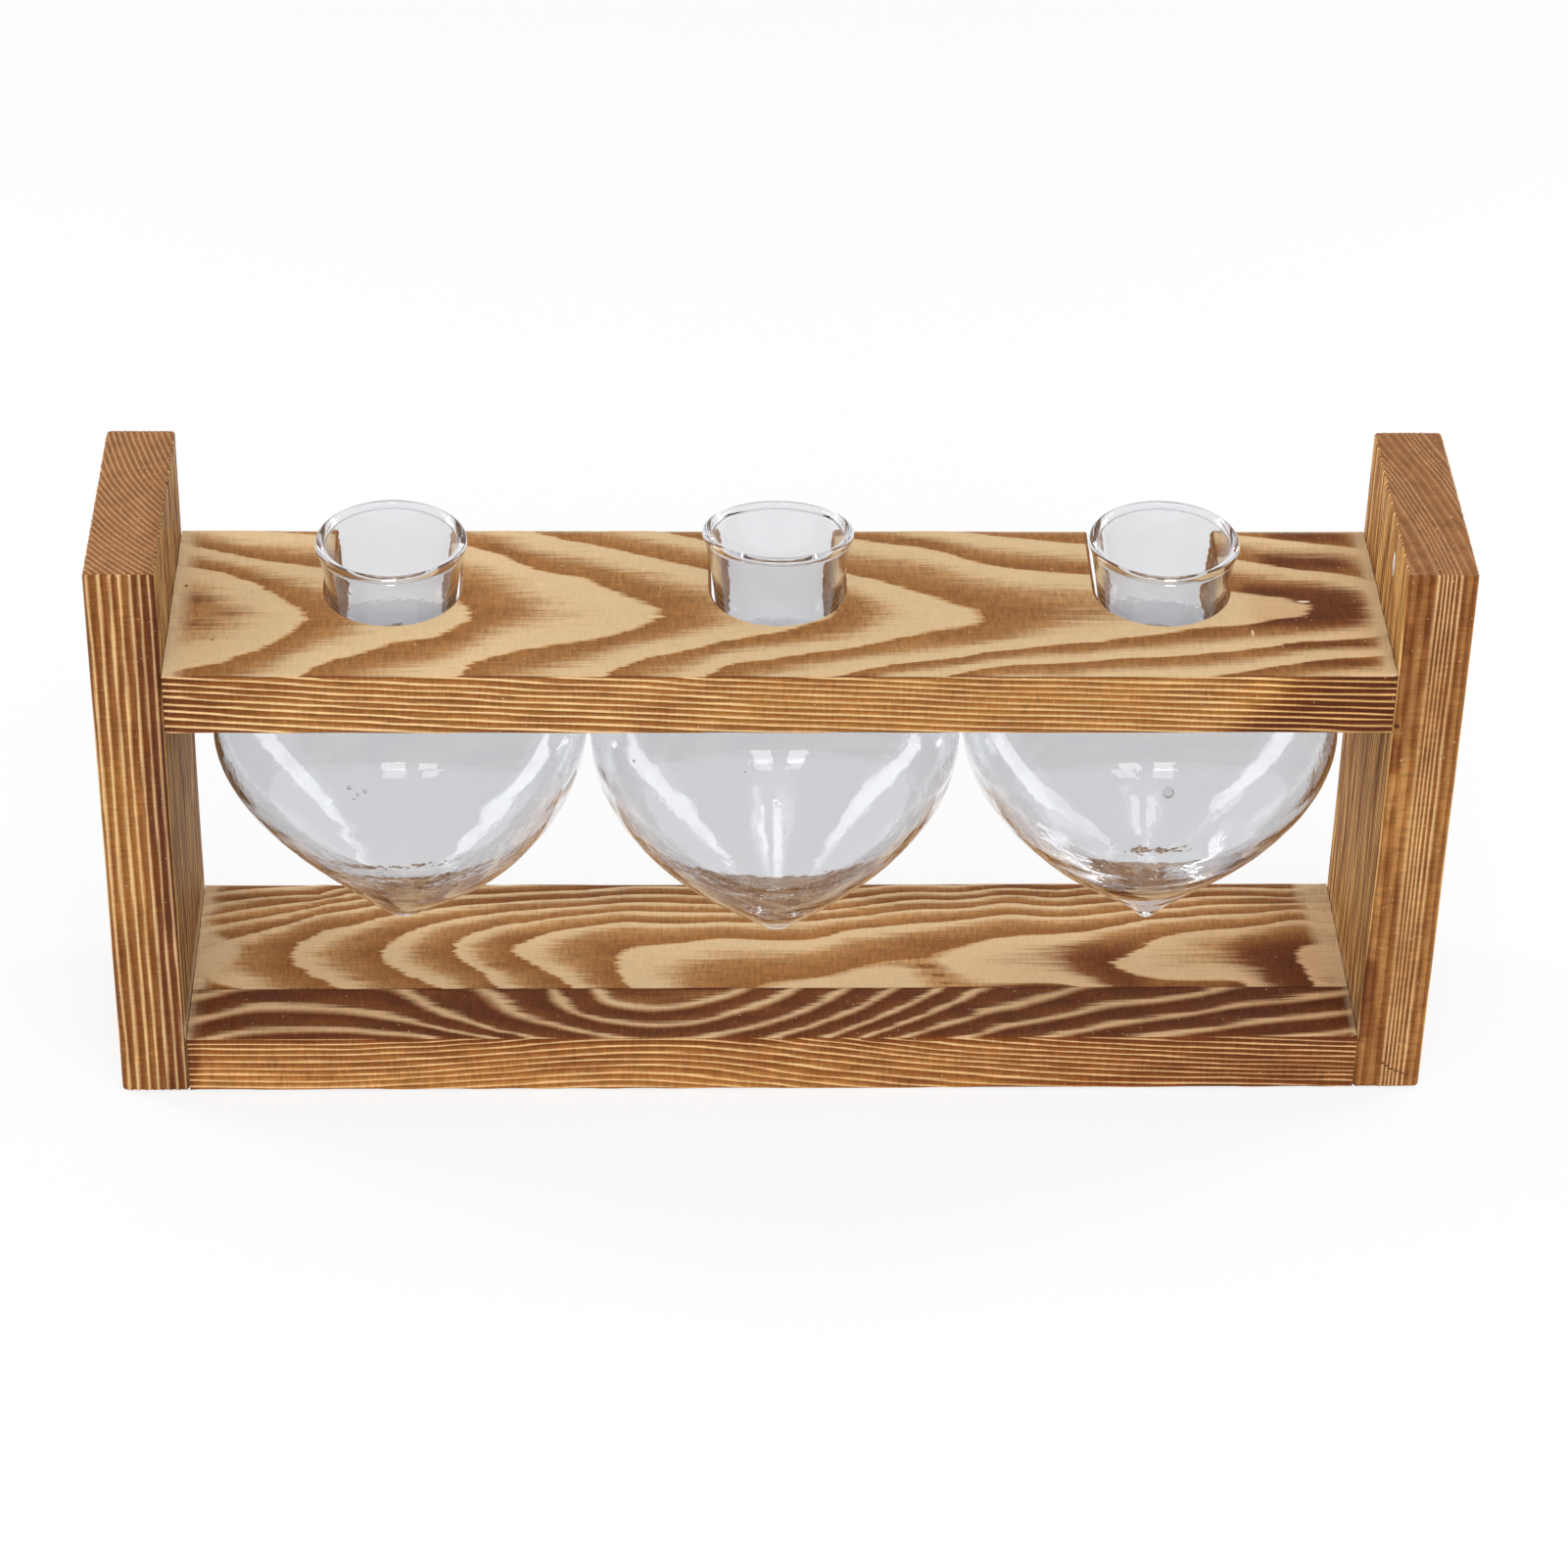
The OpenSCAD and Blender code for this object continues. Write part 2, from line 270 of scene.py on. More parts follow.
# On the fronts the second number is the millimetres below the top edge.
SHELF_FRONT_LINES = {
    1: [(240, 0.3), (256, 0.6), (276, 1.3), (296, 1.8)],
    2: [(188, 0.4), (196, 0.8), (216, 1.3), (236, 2.1), (256, 2.5), (276, 3.2), (296, 3.7)],
    3: [(158, 0.7), (168, 1.1), (178, 1.7), (196, 2.6), (216, 3.0), (236, 3.8), (256, 4.3), (276, 5.2),
        (296, 5.6)],
    4: [(128, 0.8), (138, 1.3), (148, 1.8), (158, 2.3), (178, 3.3), (196, 4.3), (216, 4.8), (236, 5.5),
        (256, 6.3), (276, 6.9), (296, 7.6)],
    5: [(98, 0.6), (118, 1.5), (138, 2.9), (158, 3.8), (178, 4.8), (196, 5.8), (216, 6.5), (236, 7.2),
        (256, 8.0), (276, 8.7), (296, 9.5)],
    6: [(70, 0.7), (80, 1.3), (98, 2.5), (118, 3.4), (138, 4.8), (158, 5.8), (178, 6.6), (196, 7.6),
        (216, 8.4), (236, 9.2), (256, 10.0), (276, 10.6), (296, 11.4)],
    7: [(30, 0.4), (40, 1.3), (60, 2.4), (70, 2.8), (80, 3.4), (90, 4.1), (98, 4.3), (118, 5.3), (138, 6.6),
        (158, 7.5), (178, 8.3), (196, 9.5), (216, 10.0), (236, 10.7), (256, 11.7), (276, 12.3), (296, 12.8)],
    8: [(0, 0.4), (20, 1.5), (30, 2.2), (40, 3.0), (50, 3.6), (70, 4.5), (80, 5.2), (98, 6.1), (118, 7.2),
        (138, 8.4), (158, 9.3), (178, 10.3), (196, 11.1), (216, 11.7), (236, 12.3), (276, 13.8), (296, 14.4)],
    9: [(0, 2.3), (20, 3.6), (40, 5.2), (60, 6.2), (80, 7.3), (98, 8.2), (118, 9.1), (138, 10.3), (158, 11.2),
        (178, 12.0), (196, 12.9), (216, 13.5), (236, 14.3), (256, 15.1), (290, 16.5)],
    10: [(0, 4.2), (20, 5.6), (40, 7.2), (60, 8.1), (80, 9.1), (98, 10.0), (118, 10.9), (138, 12.2),
         (158, 13.0), (178, 13.9), (196, 14.8), (236, 16.0)],
    11: [(0, 6.0), (20, 7.4), (40, 8.6), (60, 9.8), (80, 10.7), (98, 11.7), (118, 12.7), (138, 13.8),
         (158, 14.8), (178, 15.7)],
    12: [(0, 8.1), (20, 9.4), (40, 10.8), (60, 12.3), (80, 13.2), (98, 13.9), (118, 14.8), (138, 16.1)],
    13: [(0, 10.2), (20, 11.8), (40, 12.9), (60, 14.1), (80, 15.3), (98, 16.1)],
    14: [(0, 12.3), (20, 13.8), (40, 15.0), (60, 16.2)],
    15: [(0, 14.4), (20, 15.6), (35, 17.0)],
}
BASE_FRONT_LINES = {
    1: [(246, 1.2), (266, 2.3), (294, 3.6)],
    2: [(226, 1.9), (246, 3.2), (266, 4.1), (294, 5.2)],
    3: [(200, 1.1), (216, 2.7), (226, 3.4), (246, 4.6), (266, 5.7), (294, 6.5)],
    4: [(180, 0.9), (190, 2.0), (200, 3.2), (216, 4.4), (246, 6.3), (266, 7.7), (294, 8.4)],
    5: [(172, 1.5), (180, 2.6), (190, 4.1), (200, 5.2), (216, 6.3), (246, 8.2), (266, 9.2), (294, 9.9)],
    6: [(2, 1.8), (30, 2.0), (45, 1.9), (60, 1.3), (72, 0.4), (158, 1.0), (165, 1.8), (180, 4.3), (190, 5.7),
        (200, 6.6), (216, 7.8), (246, 9.7), (266, 10.6), (294, 11.3)],
    7: [(2, 3.1), (30, 3.4), (50, 3.0), (70, 1.8), (86, 0.3), (148, 0.8), (160, 2.8), (170, 4.3), (180, 5.9),
        (190, 7.2), (200, 8.1), (226, 10.3), (246, 11.1), (266, 11.9), (294, 12.7)],
    8: [(2, 5.1), (25, 5.4), (45, 5.2), (60, 4.5), (75, 3.3), (90, 1.9), (100, 1.0), (130, 0.9), (140, 2.0),
        (150, 3.4), (160, 5.1), (170, 6.5), (180, 7.8), (200, 10.0), (226, 12.2), (246, 13.1), (294, 14.4)],
    9: [(2, 7.2), (25, 7.5), (45, 7.4), (60, 6.7), (75, 5.5), (90, 4.1), (100, 3.3), (110, 2.8), (120, 2.7),
        (130, 3.2), (140, 4.3), (150, 5.8), (160, 7.4), (170, 8.8), (180, 10.1), (200, 12.4), (226, 14.4),
        (246, 15.2), (294, 16.5)],
    10: [(2, 9.4), (25, 9.8), (45, 9.6), (60, 8.8), (75, 7.5), (90, 6.1), (100, 5.4), (110, 4.8), (120, 4.9),
         (130, 5.5), (140, 6.8), (150, 8.5), (160, 10.1), (170, 11.3), (200, 14.8), (226, 16.4)],
    11: [(2, 11.5), (25, 11.9), (45, 11.7), (60, 10.9), (75, 9.6), (90, 8.1), (100, 7.4), (112, 7.0),
         (120, 7.1), (130, 7.8), (140, 9.1), (150, 11.0), (160, 12.5), (180, 15.1), (198, 16.8)],
    12: [(2, 13.2), (25, 13.7), (45, 13.3), (60, 12.4), (75, 11.2), (90, 9.9), (100, 9.3), (112, 8.9),
         (120, 9.0), (130, 9.8), (140, 11.2), (150, 13.1), (160, 14.8), (180, 16.9)],
    13: [(2, 15.4), (25, 15.9), (45, 15.5), (60, 14.6), (75, 13.5), (90, 12.1), (100, 11.6), (110, 11.2),
         (120, 11.6), (130, 12.6), (140, 14.1), (158, 17.0)],
    14: [(62, 16.3), (75, 15.6), (90, 14.5), (100, 13.9), (112, 13.6), (120, 14.0), (130, 15.0), (146, 17.0)],
    15: [(85, 17.0), (100, 15.8), (112, 15.6), (120, 15.9), (130, 16.8)],
}
# Gap between the ring lines on the other edges of the level boards
LINE_GAP = 2.1
# Axis of a side board's rings, from its left face and its rear, and where their count starts or steps.
LEFT_AXIS = (89.5, 13.5)
LEFT_RING_GAP = 1.45
RIGHT_AXIS = (-251.0, -91.0)
RIGHT_RING_START = 252.2
# Gap between the ring lines on the wide faces of the side boards
ROW_GAP = 1.7
# Ring lines of the side boards: across the left board's front, and outwards from the right board's axis.
STRIPES_LEFT = [-0.6, 1.6, 4.1, 6.9, 9.0, 11.6, 13.8, 16.0, 18.2]
STRIPES_RIGHT = [-4.0, -1.0, 1.8, 4.6, 7.4, 8.4, 9.4, 10.4, 11.5, 12.9, 15.0, 17.4, 19.6, 21.0, 22.0, 23.0,
                 24.2, 26.0]


# Meshes
# Points closer than this are one. The shift keeps round lengths off the rounding's middle.
MERGE = 0.002
MERGE_SHIFT = 0.137
# Where the rows over an eased edge lie, as shares of its radius
RIM_SHARES = np.array([0.0, 0.25, 0.5, 0.75])
SLOT_POINTS = 49
# Half size of the sheet round a screw hole, in radii of its rim
HOLE_SHEET = 1.6


def spaced(low, high, step, ease):
    """Places from low to high: close together over the eased edges, and about a step apart between."""
    rim = ease * RIM_SHARES
    count = max(1, int(round((high - low - 2 * ease) / step)))
    between = np.linspace(low + ease, high - ease, count + 1)
    return np.concatenate([low + rim, between, (high - rim)[::-1]]) if ease else between


def eased(points, low, high, ease):
    """Rounds the edges of a box: a point further than its ease from the box's core is drawn back.

    ease holds one radius per axis, and an axis with none keeps its square ends.
    """
    ease = np.array(ease, float)
    radius = ease.max()
    core = np.clip(points, low + ease, high - ease)
    core = np.where(ease > 0, core, points)
    reach = points - core
    length = np.linalg.norm(reach, axis=-1, keepdims=True)
    return np.where(length > radius, core + reach * radius / np.maximum(length, 1e-9), points)


class Skin:
    """Grids of points that share their borders, gathered into one closed mesh."""

    def __init__(self):
        self.points = []
        self.faces = []
        self.sides = []
        self.names = []
        self.count = 0

    def add(self, side, grid, keep=None):
        """Adds a grid of places, rows by columns by xyz, as a named side, or only the cells kept."""
        rows, columns = grid.shape[:2]
        index = self.count + np.arange(rows * columns).reshape(rows, columns)
        quads = np.stack([index[:-1, :-1], index[:-1, 1:], index[1:, 1:], index[1:, :-1]], -1)
        self.points.append(grid.reshape(-1, 3))
        self.faces.append(quads.reshape(-1, 4) if keep is None else quads[keep])
        if side not in self.names:
            self.names.append(side)
        self.sides.append(np.full(len(self.faces[-1]), self.names.index(side)))
        self.count += rows * columns

    def mesh(self, name, low, high, ease):
        """One mesh of all the grids, eased, with the points of their shared borders merged."""
        points = eased(np.concatenate(self.points), low, high, ease)
        faces = np.concatenate(self.faces)
        sides = np.concatenate(self.sides)
        keys = np.round(points / MERGE + MERGE_SHIFT).astype(np.int64)
        _, first, merged = np.unique(keys, axis=0, return_index=True, return_inverse=True)
        faces = merged.reshape(-1)[faces]
        same = (faces == np.roll(faces, 1, axis=1)).any(1)
        whole = np.array([len(set(face)) for face in faces[same]]) if same.any() else np.array([])
        kept = np.flatnonzero(~same).tolist() + np.flatnonzero(same)[whole == 3].tolist()
        made = bpy.data.meshes.new(name)
        rings = [list(dict.fromkeys(faces[i].tolist())) for i in kept]
        made.from_pydata((points[first] * MM).tolist(), [], rings)
        made.polygons.foreach_set("material_index", np.zeros(len(kept), np.int32))
        side = made.attributes.new("side", "INT", "FACE")
        side.data.foreach_set("value", sides[kept].astype(np.int32))
        face_outwards(made)
        return made


def face_outwards(mesh):
    """Turns every face of a closed mesh outwards."""
    work = bmesh.new()
    work.from_mesh(mesh)
    bmesh.ops.recalc_face_normals(work, faces=work.faces)
    work.to_mesh(mesh)
    work.free()
    mesh.update()


def grid_of(x, y, z):
    """Grid of places from three arrays or numbers, each spread over the others."""
    return np.stack(np.broadcast_arrays(x, y, z), -1).astype(float)


def flat_grid(rows, columns, place):
    """Grid of places from two lists, through a function of a row value and a column value."""
    return grid_of(*place(*np.meshgrid(rows, columns, indexing="ij")))


def box_skin(xs, ys, zs, low, high):
    """Bottom, top, front and rear of a box, as grids of the given places along its axes."""
    skin = Skin()
    skin.add("bottom", flat_grid(xs, ys, lambda x, y: (x, y, low[2])))
    skin.add("top", flat_grid(xs, ys, lambda x, y: (x, y, high[2])))
    skin.add("front", flat_grid(xs, zs, lambda x, z: (x, low[1], z)))
    skin.add("rear", flat_grid(xs, zs, lambda x, z: (x, high[1], z)))
    return skin


def add_ends(skin, ys, zs, low, high):
    """Adds the left and right ends of a level board."""
    skin.add("left", flat_grid(ys, zs, lambda y, z: (low[0], y, z)))
    skin.add("right", flat_grid(ys, zs, lambda y, z: (high[0], y, z)))


def base_skin(low, high, steps, ease):
    """The six sides of a part of the base: its rounded edges are those of the whole base."""
    xs = spaced(low[0], high[0], steps[0], 0)
    zs = spaced(low[2], high[2], steps[2], ease)
    whole = spaced(BASE_LOW[1], BASE_HIGH[1], steps[1], ease)
    inside = whole[(whole > low[1] + steps[1] / 2) & (whole < high[1] - steps[1] / 2)]
    rim = whole[(whole <= low[1] + steps[1] / 2) & (whole > low[1])]
    end = whole[(whole >= high[1] - steps[1] / 2) & (whole < high[1])]
    rim = rim if low[1] == BASE_LOW[1] else rim[:0]
    end = end if high[1] == BASE_HIGH[1] else end[:0]
    ys = np.concatenate([[low[1]], rim, inside, end, [high[1]]])
    skin = box_skin(xs, ys, zs, low, high)
    add_ends(skin, ys, zs, low, high)
    return skin


def slot_radius(z):
    """Radius of a slot at a height: even up to its chamfer, and wider through it."""
    return SLOT_R + SLOT_EASE * np.clip((z - (SHELF_TOP - SLOT_EASE)) / SLOT_EASE, 0, 1)


def shelf_skin(low, high, steps, ease):
    """Top and bottom sheets with three U-shaped slots, and the walls round the outside and the slots.

    In front of the slots' axes every column of a sheet runs from the front edge to the slot's round
    end, or to the axes' line where there is no slot. Behind that line each tine is a sheet of its own.
    """
    skin = Skin()
    centres = sorted(VASE_X.values())
    zs = np.unique(np.append(spaced(low[2], high[2], steps[2], ease), high[2] - SLOT_EASE))
    back = np.linspace(0, high[1] - ease, int((high[1] - ease) / steps[1]) + 1)
    back = np.concatenate([back, (high[1] - ease * RIM_SHARES)[::-1]])
    fore = np.linspace(0, 1, int(-low[1] / steps[1]) + 1)
    fore_rim = low[1] + ease * RIM_SHARES
    start = low[1] + ease
    theta = np.linspace(0, math.pi, SLOT_POINTS)
    edges = [low[0]] + [side for c in centres for side in (c, c)] + [high[0]]

    def tine(i, radius):
        """Left and right ends of tine i at a slot radius."""
        left = edges[2 * i] + (radius if i else 0)
        right = edges[2 * i + 1] - (radius if i < len(centres) else 0)
        return left, right

    shares = []
    for i in range(len(centres) + 1):
        left, right = tine(i, SLOT_R)
        shares.append(np.linspace(0, 1, int(round((right - left) / steps[0])) + 1))

    def columns(radius):
        """Places along X, and where the front part ends at each, for a slot radius."""
        xs, ends = [], []
        for i, share in enumerate(shares):
            left, right = tine(i, radius)
            trimmed = share[(1 if i else 0):(None if i == len(centres) else -1)]
            xs.append(left + (right - left) * trimmed)
            ends.append(np.zeros(len(trimmed)))
            if i < len(centres):
                xs.append(centres[i] - radius * np.cos(theta))
                ends.append(-radius * np.sin(theta))
        return np.concatenate(xs), np.concatenate(ends)

    for side, z in (("bottom", low[2]), ("top", high[2])):
        radius = slot_radius(z)
        xs, ends = columns(radius)
        rows = [fore_rim[:, None] + 0 * xs, start + (ends - start) * fore[:, None]]
        skin.add(side, grid_of(xs, np.concatenate(rows), z))
        for i, share in enumerate(shares):
            left, right = tine(i, radius)
            skin.add(side, flat_grid(back, left + (right - left) * share, lambda y, x: (x, y, z)))
    lower, _ = columns(slot_radius(low[2]))
    upper, _ = columns(slot_radius(high[2]))
    rise = (zs - low[2]) / (high[2] - low[2])
    front = lower + (upper - lower) * rise[:, None]
    skin.add("front", grid_of(front, low[1], zs[:, None]))
    radius = slot_radius(zs)[:, None]
    for i, share in enumerate(shares):
        left, right = tine(i, radius)
        skin.add("rear", grid_of(left + (right - left) * share, high[1], zs[:, None]))
    add_ends(skin, np.concatenate([fore_rim, start - start * fore, back[1:]]), zs, low, high)
    x = np.concatenate([-1 + 0 * back, -np.cos(theta[1:-1]), 1 + 0 * back])
    y = np.concatenate([0 * back, -np.sin(theta[1:-1]), 0 * back])
    tail = np.concatenate([back[::-1], 0 * theta[1:-1], back])
    for centre in centres:
        skin.add("slot", grid_of(centre + radius * x, radius * y + tail, zs[:, None]))
    return skin


def side_skin(low, high, steps, ease, outer, holes):
    """The six sides of a side board, with a countersunk hole for each screw in its outer face.

    Each hole is a sheet of its own: from a rectangle left out of the outer face in to the rim of the
    hole, down the countersink's cone and across its floor.
    """
    xs, ys, zs = (spaced(low[i], high[i], steps[i], ease[i]) for i in range(3))
    plane, inner, inward = (low[0], high[0], 1) if outer == "left" else (high[0], low[0], -1)
    skin = box_skin(xs, ys, zs, low, high)
    skin.add("inner", flat_grid(ys, zs, lambda y, z: (inner, y, z)))
    keep = np.ones((len(ys) - 1, len(zs) - 1), bool)
    for y, z, rim, shank, depth in holes:
        reach = HOLE_SHEET * rim
        i0, i1 = np.searchsorted(ys, [y - reach, y + reach])
        j0, j1 = np.searchsorted(zs, [z - reach, z + reach])
        keep[i0:i1, j0:j1] = False
        wide, tall = i1 - i0, j1 - j0
        side_y = np.concatenate([ys[i0:i1], np.full(tall, ys[i1]), ys[i1:i0:-1], np.full(tall + 1, ys[i0])])
        side_z = np.concatenate([np.full(wide, zs[j0]), zs[j0:j1], np.full(wide, zs[j1]), zs[j1:j0 - 1:-1]])
        angle = np.arctan2(side_z - z, side_y - y)
        border = np.stack([side_y - y, side_z - z])
        circle = np.stack([np.cos(angle), np.sin(angle)])
        flat = [(1 - f) * border + f * rim * circle for f in (0, 0.35, 0.65, 0.88, 1)]
        cone = [(rim + (shank - rim) * f) * circle for f in (0, 0.33, 0.67, 1)]
        floor = [shank * f * circle for f in (1, 0.5, 0)]
        skin.add("outer", np.stack([grid_of(plane, y + p[0], z + p[1]) for p in flat]))
        skin.add("hole", np.stack([grid_of(plane + inward * depth * f, y + p[0], z + p[1])
                                   for f, p in zip((0, 0.33, 0.67, 1, 1, 1), cone + floor[1:])]))
    skin.add("outer", flat_grid(ys, zs, lambda y, z: (plane, y, z)), keep)
    return skin


# Grain: what the wood shader reads at each corner, with the usual values
LOOKS = {
    "ring": 0.0,  # count of growth rings
    "drift": 0.0,  # rings per millimetre along the grain
    "share": 0.45,  # part of a ring that is pale
    "soft": 0.1,  # softness of a pale line's sharp side
    "fade": 0.3,  # softness of its other side
    "figure": 1.0,  # how strongly the rings show
    "burn": 0.2,  # how far the wood is torched
    "gold": 0.0,  # golden tone and thinner lines, as on the boards' edges, with painted light that brightens their pale lines
    "bare": 0.0,  # places that the torch missed
    "end": 0.0,  # end grain
    "fair": 1.0,  # painted light: brightness that stands in for light and shade on a side
}


def look(**given):
    """The attributes of a side, with the usual value for those that aren't given."""
    return {**LOOKS, **given}


def drift_of(rings, along, across):
    """Rings per millimetre along the grain, which sets how far fibres tear a ring's line."""
    return np.clip((rings.at(along + 1, across) - rings.at(along - 1, across)) / 2, -0.4, 0.4)


def flat_look(rings, along, across, **given):
    """Attributes of a face that is cut along the grain, with a field of ring lines."""
    return look(ring=rings.at(along, across), drift=drift_of(rings, along, across), **given)


def layer_look(count, **given):
    """Attributes of an edge that cuts the rings into nearly level layers."""
    # Edges get the golden tone, and painted light that brightens their pale lines.
    usual = {"share": 0.3, "soft": 0.45, "fade": 0.2, "gold": 0.8}
    return look(ring=count - 0.16, **{**usual, **given})


def shelf_top_look(x, v):
    """Top of the shelf: arches to the right, scorched patches near the right end."""
    burn = 0.07 + 0.05 * smooth_step(40, 110, x) + 0.06 * smooth_step(190, 285, x)
    burn = burn + 0.07 * ripple(3, (60, 16), x, v)
    for low, high in (((271, -4), (292, 6)), ((268, 9), (291, 19)), ((261, 25), (293, 45)),
                      ((266, 50), (293, 54)), ((272, 58), (293, 62))):
        burn = np.maximum(burn, 0.64 * patch(x, v, low, high, 5))
    for centre, size in (((8, 31), (7, 3.5)), ((8, 43), (6, 3)), ((15, 38), (6, 3)), ((20, 36), (8, 4))):
        burn = np.maximum(burn, 0.3 * spot(x, v, centre, size))
    bare = np.maximum(1 - smooth_step(1, 6, x), smooth_step(291.5, 295, x))
    bare = np.maximum(bare, 0.7 * (1 - smooth_step(0, 2.5, v)) * smooth_step(-20, 60, x))
    share = 0.46 - 0.06 * smooth_step(200, 290, x) + 0.06 * ripple(5, (80, 30), x, v)
    burn = np.maximum(burn, 0.75 * smooth_step(65.0, 65.8, v))
    burn = burn - 0.05 * patch(x, v, (110, -20), (185, 90), 20)
    # Painted light: the middle of the top is dimmed by a tenth, and both ends keep their brightness.
    fair = 1 - 0.1 * smooth_step(60, 130, x) + 0.09 * smooth_step(190, 280, x)
    return flat_look(SHELF_RINGS, x, v, burn=burn, bare=bare, share=share, soft=0.05, fade=0.42, fair=fair)


def plank_top_look(x, v):
    """Top of the rear plank: arches to the left, with dark hearts to the right."""
    burn = 0.16 + 0.08 * ripple(7, (70, 14), x, v) + 0.06 * (1 - smooth_step(4, 14, v))
    burn = burn - 0.28 * patch(x, v, (112, 24), (178, 52), 8)
    burn = np.maximum(burn, 0.5 * patch(x, v, (203, 25), (246, 60), 9))
    burn = np.maximum(burn, 0.66 * patch(x, v, (266, 24), (293, 60), 9))
    edge = x + 1.2 * ripple(33, (30, 9), x, v) - 8 * spot(x, v, (4, 30), (10, 8))
    bare = np.maximum(1 - smooth_step(1.0, 5.0, edge), smooth_step(291, 294, x + 0.12 * (46 - v)))
    share = 0.31 + 0.14 * patch(x, v, (105, 22), (190, 52), 10) + 0.05 * ripple(9, (80, 20), x, v)
    burn = np.maximum(burn, 0.8 * smooth_step(45.0, 45.4, v))
    burn = burn + 0.14 * (1 - smooth_step(5, 12, v))
    # Painted light: the plank's top is made a fifth brighter against the shade of the shelf above, and only a
    # little brighter along its rear edge.
    fair = 1.2 - 0.16 * (1 - smooth_step(4, 14, v))
    return flat_look(PLANK_RINGS, x, v, burn=burn, bare=bare, share=share, soft=0.06, fade=0.36, fair=fair)


def strip_top_look(x, v):
    """Top of the front strip: dark, with thin pale arcs that fade on both sides."""
    burn = 0.6 + 0.1 * ripple(11, (50, 10), x, v) + 0.12 * smooth_step(180, 280, x)
    burn = burn - 0.2 * patch(x, v, (100, 44), (150, 54), 6)
    bare = np.maximum(1 - smooth_step(0.5, 2.5, x), smooth_step(294, 296, x))
    share = 0.33 + 0.05 * ripple(13, (60, 10), x, v)
    burn = np.maximum(burn, 0.85 * (1 - smooth_step(45.6, 46.1, v)))
    # Painted light: the strip's top is made about a sixth brighter.
    made = flat_look(STRIP_RINGS, x, v, burn=burn + 0.05, bare=0.6 * bare, share=share, soft=0.6, fade=0.24,
                     fair=1.16)
    return {**made, "drift": 0.3 * made["drift"]}


SHELF_RINGS = RingCount(SHELF_LINES)
SHELF_FRONT_RINGS = RingCount(SHELF_FRONT_LINES, 3.0)
BASE_FRONT_RINGS = RingCount(BASE_FRONT_LINES, 3.0)
PLANK_RINGS = RingCount(PLANK_LINES)
STRIP_RINGS = RingCount(STRIP_LINES)


def shelf_look(side, points):
    """Attributes of the shelf on one of its sides."""
    x = points[:, 0] + INNER_X
    v = REAR_Y - points[:, 1]
    height = points[:, 2] - SHELF_LOW[2]
    # The layers sink to the right, ever less steeply.
    drop = 0.03 * x - (0.02 / 296) * x * x / 2
    layers = (height + drop + 0.25 * ripple(15, (90, 40), x, v)) / LINE_GAP
    if side == "top":
        return shelf_top_look(x, v)
    if side == "bottom":
        return flat_look(SHELF_RINGS, x, v, burn=0.3, share=0.5)
    if side == "front":
        burn = 0.26 + 0.24 * (1 - smooth_step(4, 30, x)) - 0.1 * patch(x, height, (130, 0), (250, 20), 30)
        burn = burn + 0.62 * smooth_step(256, 278, x - height + 8) + 0.35 * (1 - smooth_step(0, 3, x))
        burn = burn + 0.08 * ripple(17, (40, 12), x, height)
        edges = smooth_step(16.0, 16.7, height) + 1 - smooth_step(0.3, 1, height)
        burn = np.maximum(burn, 0.6 * edges)
        figure = 1.0 - 0.3 * patch(x, height, (130, -20), (255, 40), 25)
        rings = SHELF_FRONT_RINGS.at(x, BOARD_T - height)
        # Golden tone, and painted light on the pale lines, grow stronger towards the right end.
        gold = 0.8 + 0.4 * smooth_step(250, 275, x)
        return layer_look(rings, burn=burn, figure=figure, share=0.32, gold=gold)
    if side == "rear":
        return layer_look(layers, burn=0.3)
    return layer_look(layers, end=1.0 if side in ("left", "right") else 0.6, burn=0.35)


def base_look(top):
    """Attributes of a part of the base on one of its sides, given those of its top."""

    def part_look(side, points):
        x = points[:, 0] + INNER_X
        v = REAR_Y - points[:, 1]
        height = points[:, 2]
        # The layers rise over a hump left of the middle, and lie a little lower beyond it.
        hump = 3.5 * np.exp(-((x - 118) / 60) ** 2) - 1.0 * smooth_step(150, 230, x)
        layers = (height - hump + 0.25 * ripple(19, (90, 40), x, v)) / LINE_GAP
        if side == "top":
            return top(x, v)
        if side == "front":
            burn = 0.3 - 0.18 * (1 - smooth_step(2, 10, height)) * (1 - smooth_step(120, 220, x))
            burn = burn + 0.2 * smooth_step(13.5, 16.5, height) + 0.28 * smooth_step(190, 290, x)
            burn = burn + 0.07 * ripple(21, (40, 9), x, height) + 0.45 * (1 - smooth_step(0, 4, x))
            burn = np.maximum(burn, 0.65 * smooth_step(15.9, 16.7, height))
            rings = BASE_FRONT_RINGS.at(x, BOARD_T - height)
            # Painted light: the base's front is made a fifth brighter.
            return layer_look(rings, burn=burn + 0.05, share=0.27, figure=0.7, fair=1.2)
        if side == "bottom":
            return flat_look(PLANK_RINGS, x, v, burn=0.2)
        return layer_look(layers, burn=0.3, end=1.0 if side in ("left", "right") else 0.0)

    return part_look


def stripe_count(place, lines):
    """Count of the ring lines that a board's edge shows, at a place across them."""
    return np.interp(place, lines, np.arange(len(lines)))


def left_front_look(depth, z, wander):
    """Front edge of the left board: even pale lines, darker towards the shelf."""
    place = depth + wander + np.interp(z, (0, 80, 156), (-0.4, -0.1, 0.1))
    shade = smooth_step(9.5, 12.5, depth)
    burn = 0.36 + 0.2 * shade + 0.25 * patch(depth, z, (13.5, 48), (20.0, 112), 2.5)
    burn = burn + 0.25 * patch(depth, z, (14.5, 124), (20.0, 146), 2)
    burn = burn + 0.2 * smooth_step(15.5, 17, depth)
    burn = burn - 0.14 * spot(depth, z, (5, 78), (8, 30)) + 0.06 * ripple(27, (40, 6), z, depth)
    return layer_look(stripe_count(place, STRIPES_LEFT) + 0.06, burn=burn, share=0.34, soft=0.9, fade=0.3,
                      figure=0.9, gold=0.8 - 0.3 * shade)


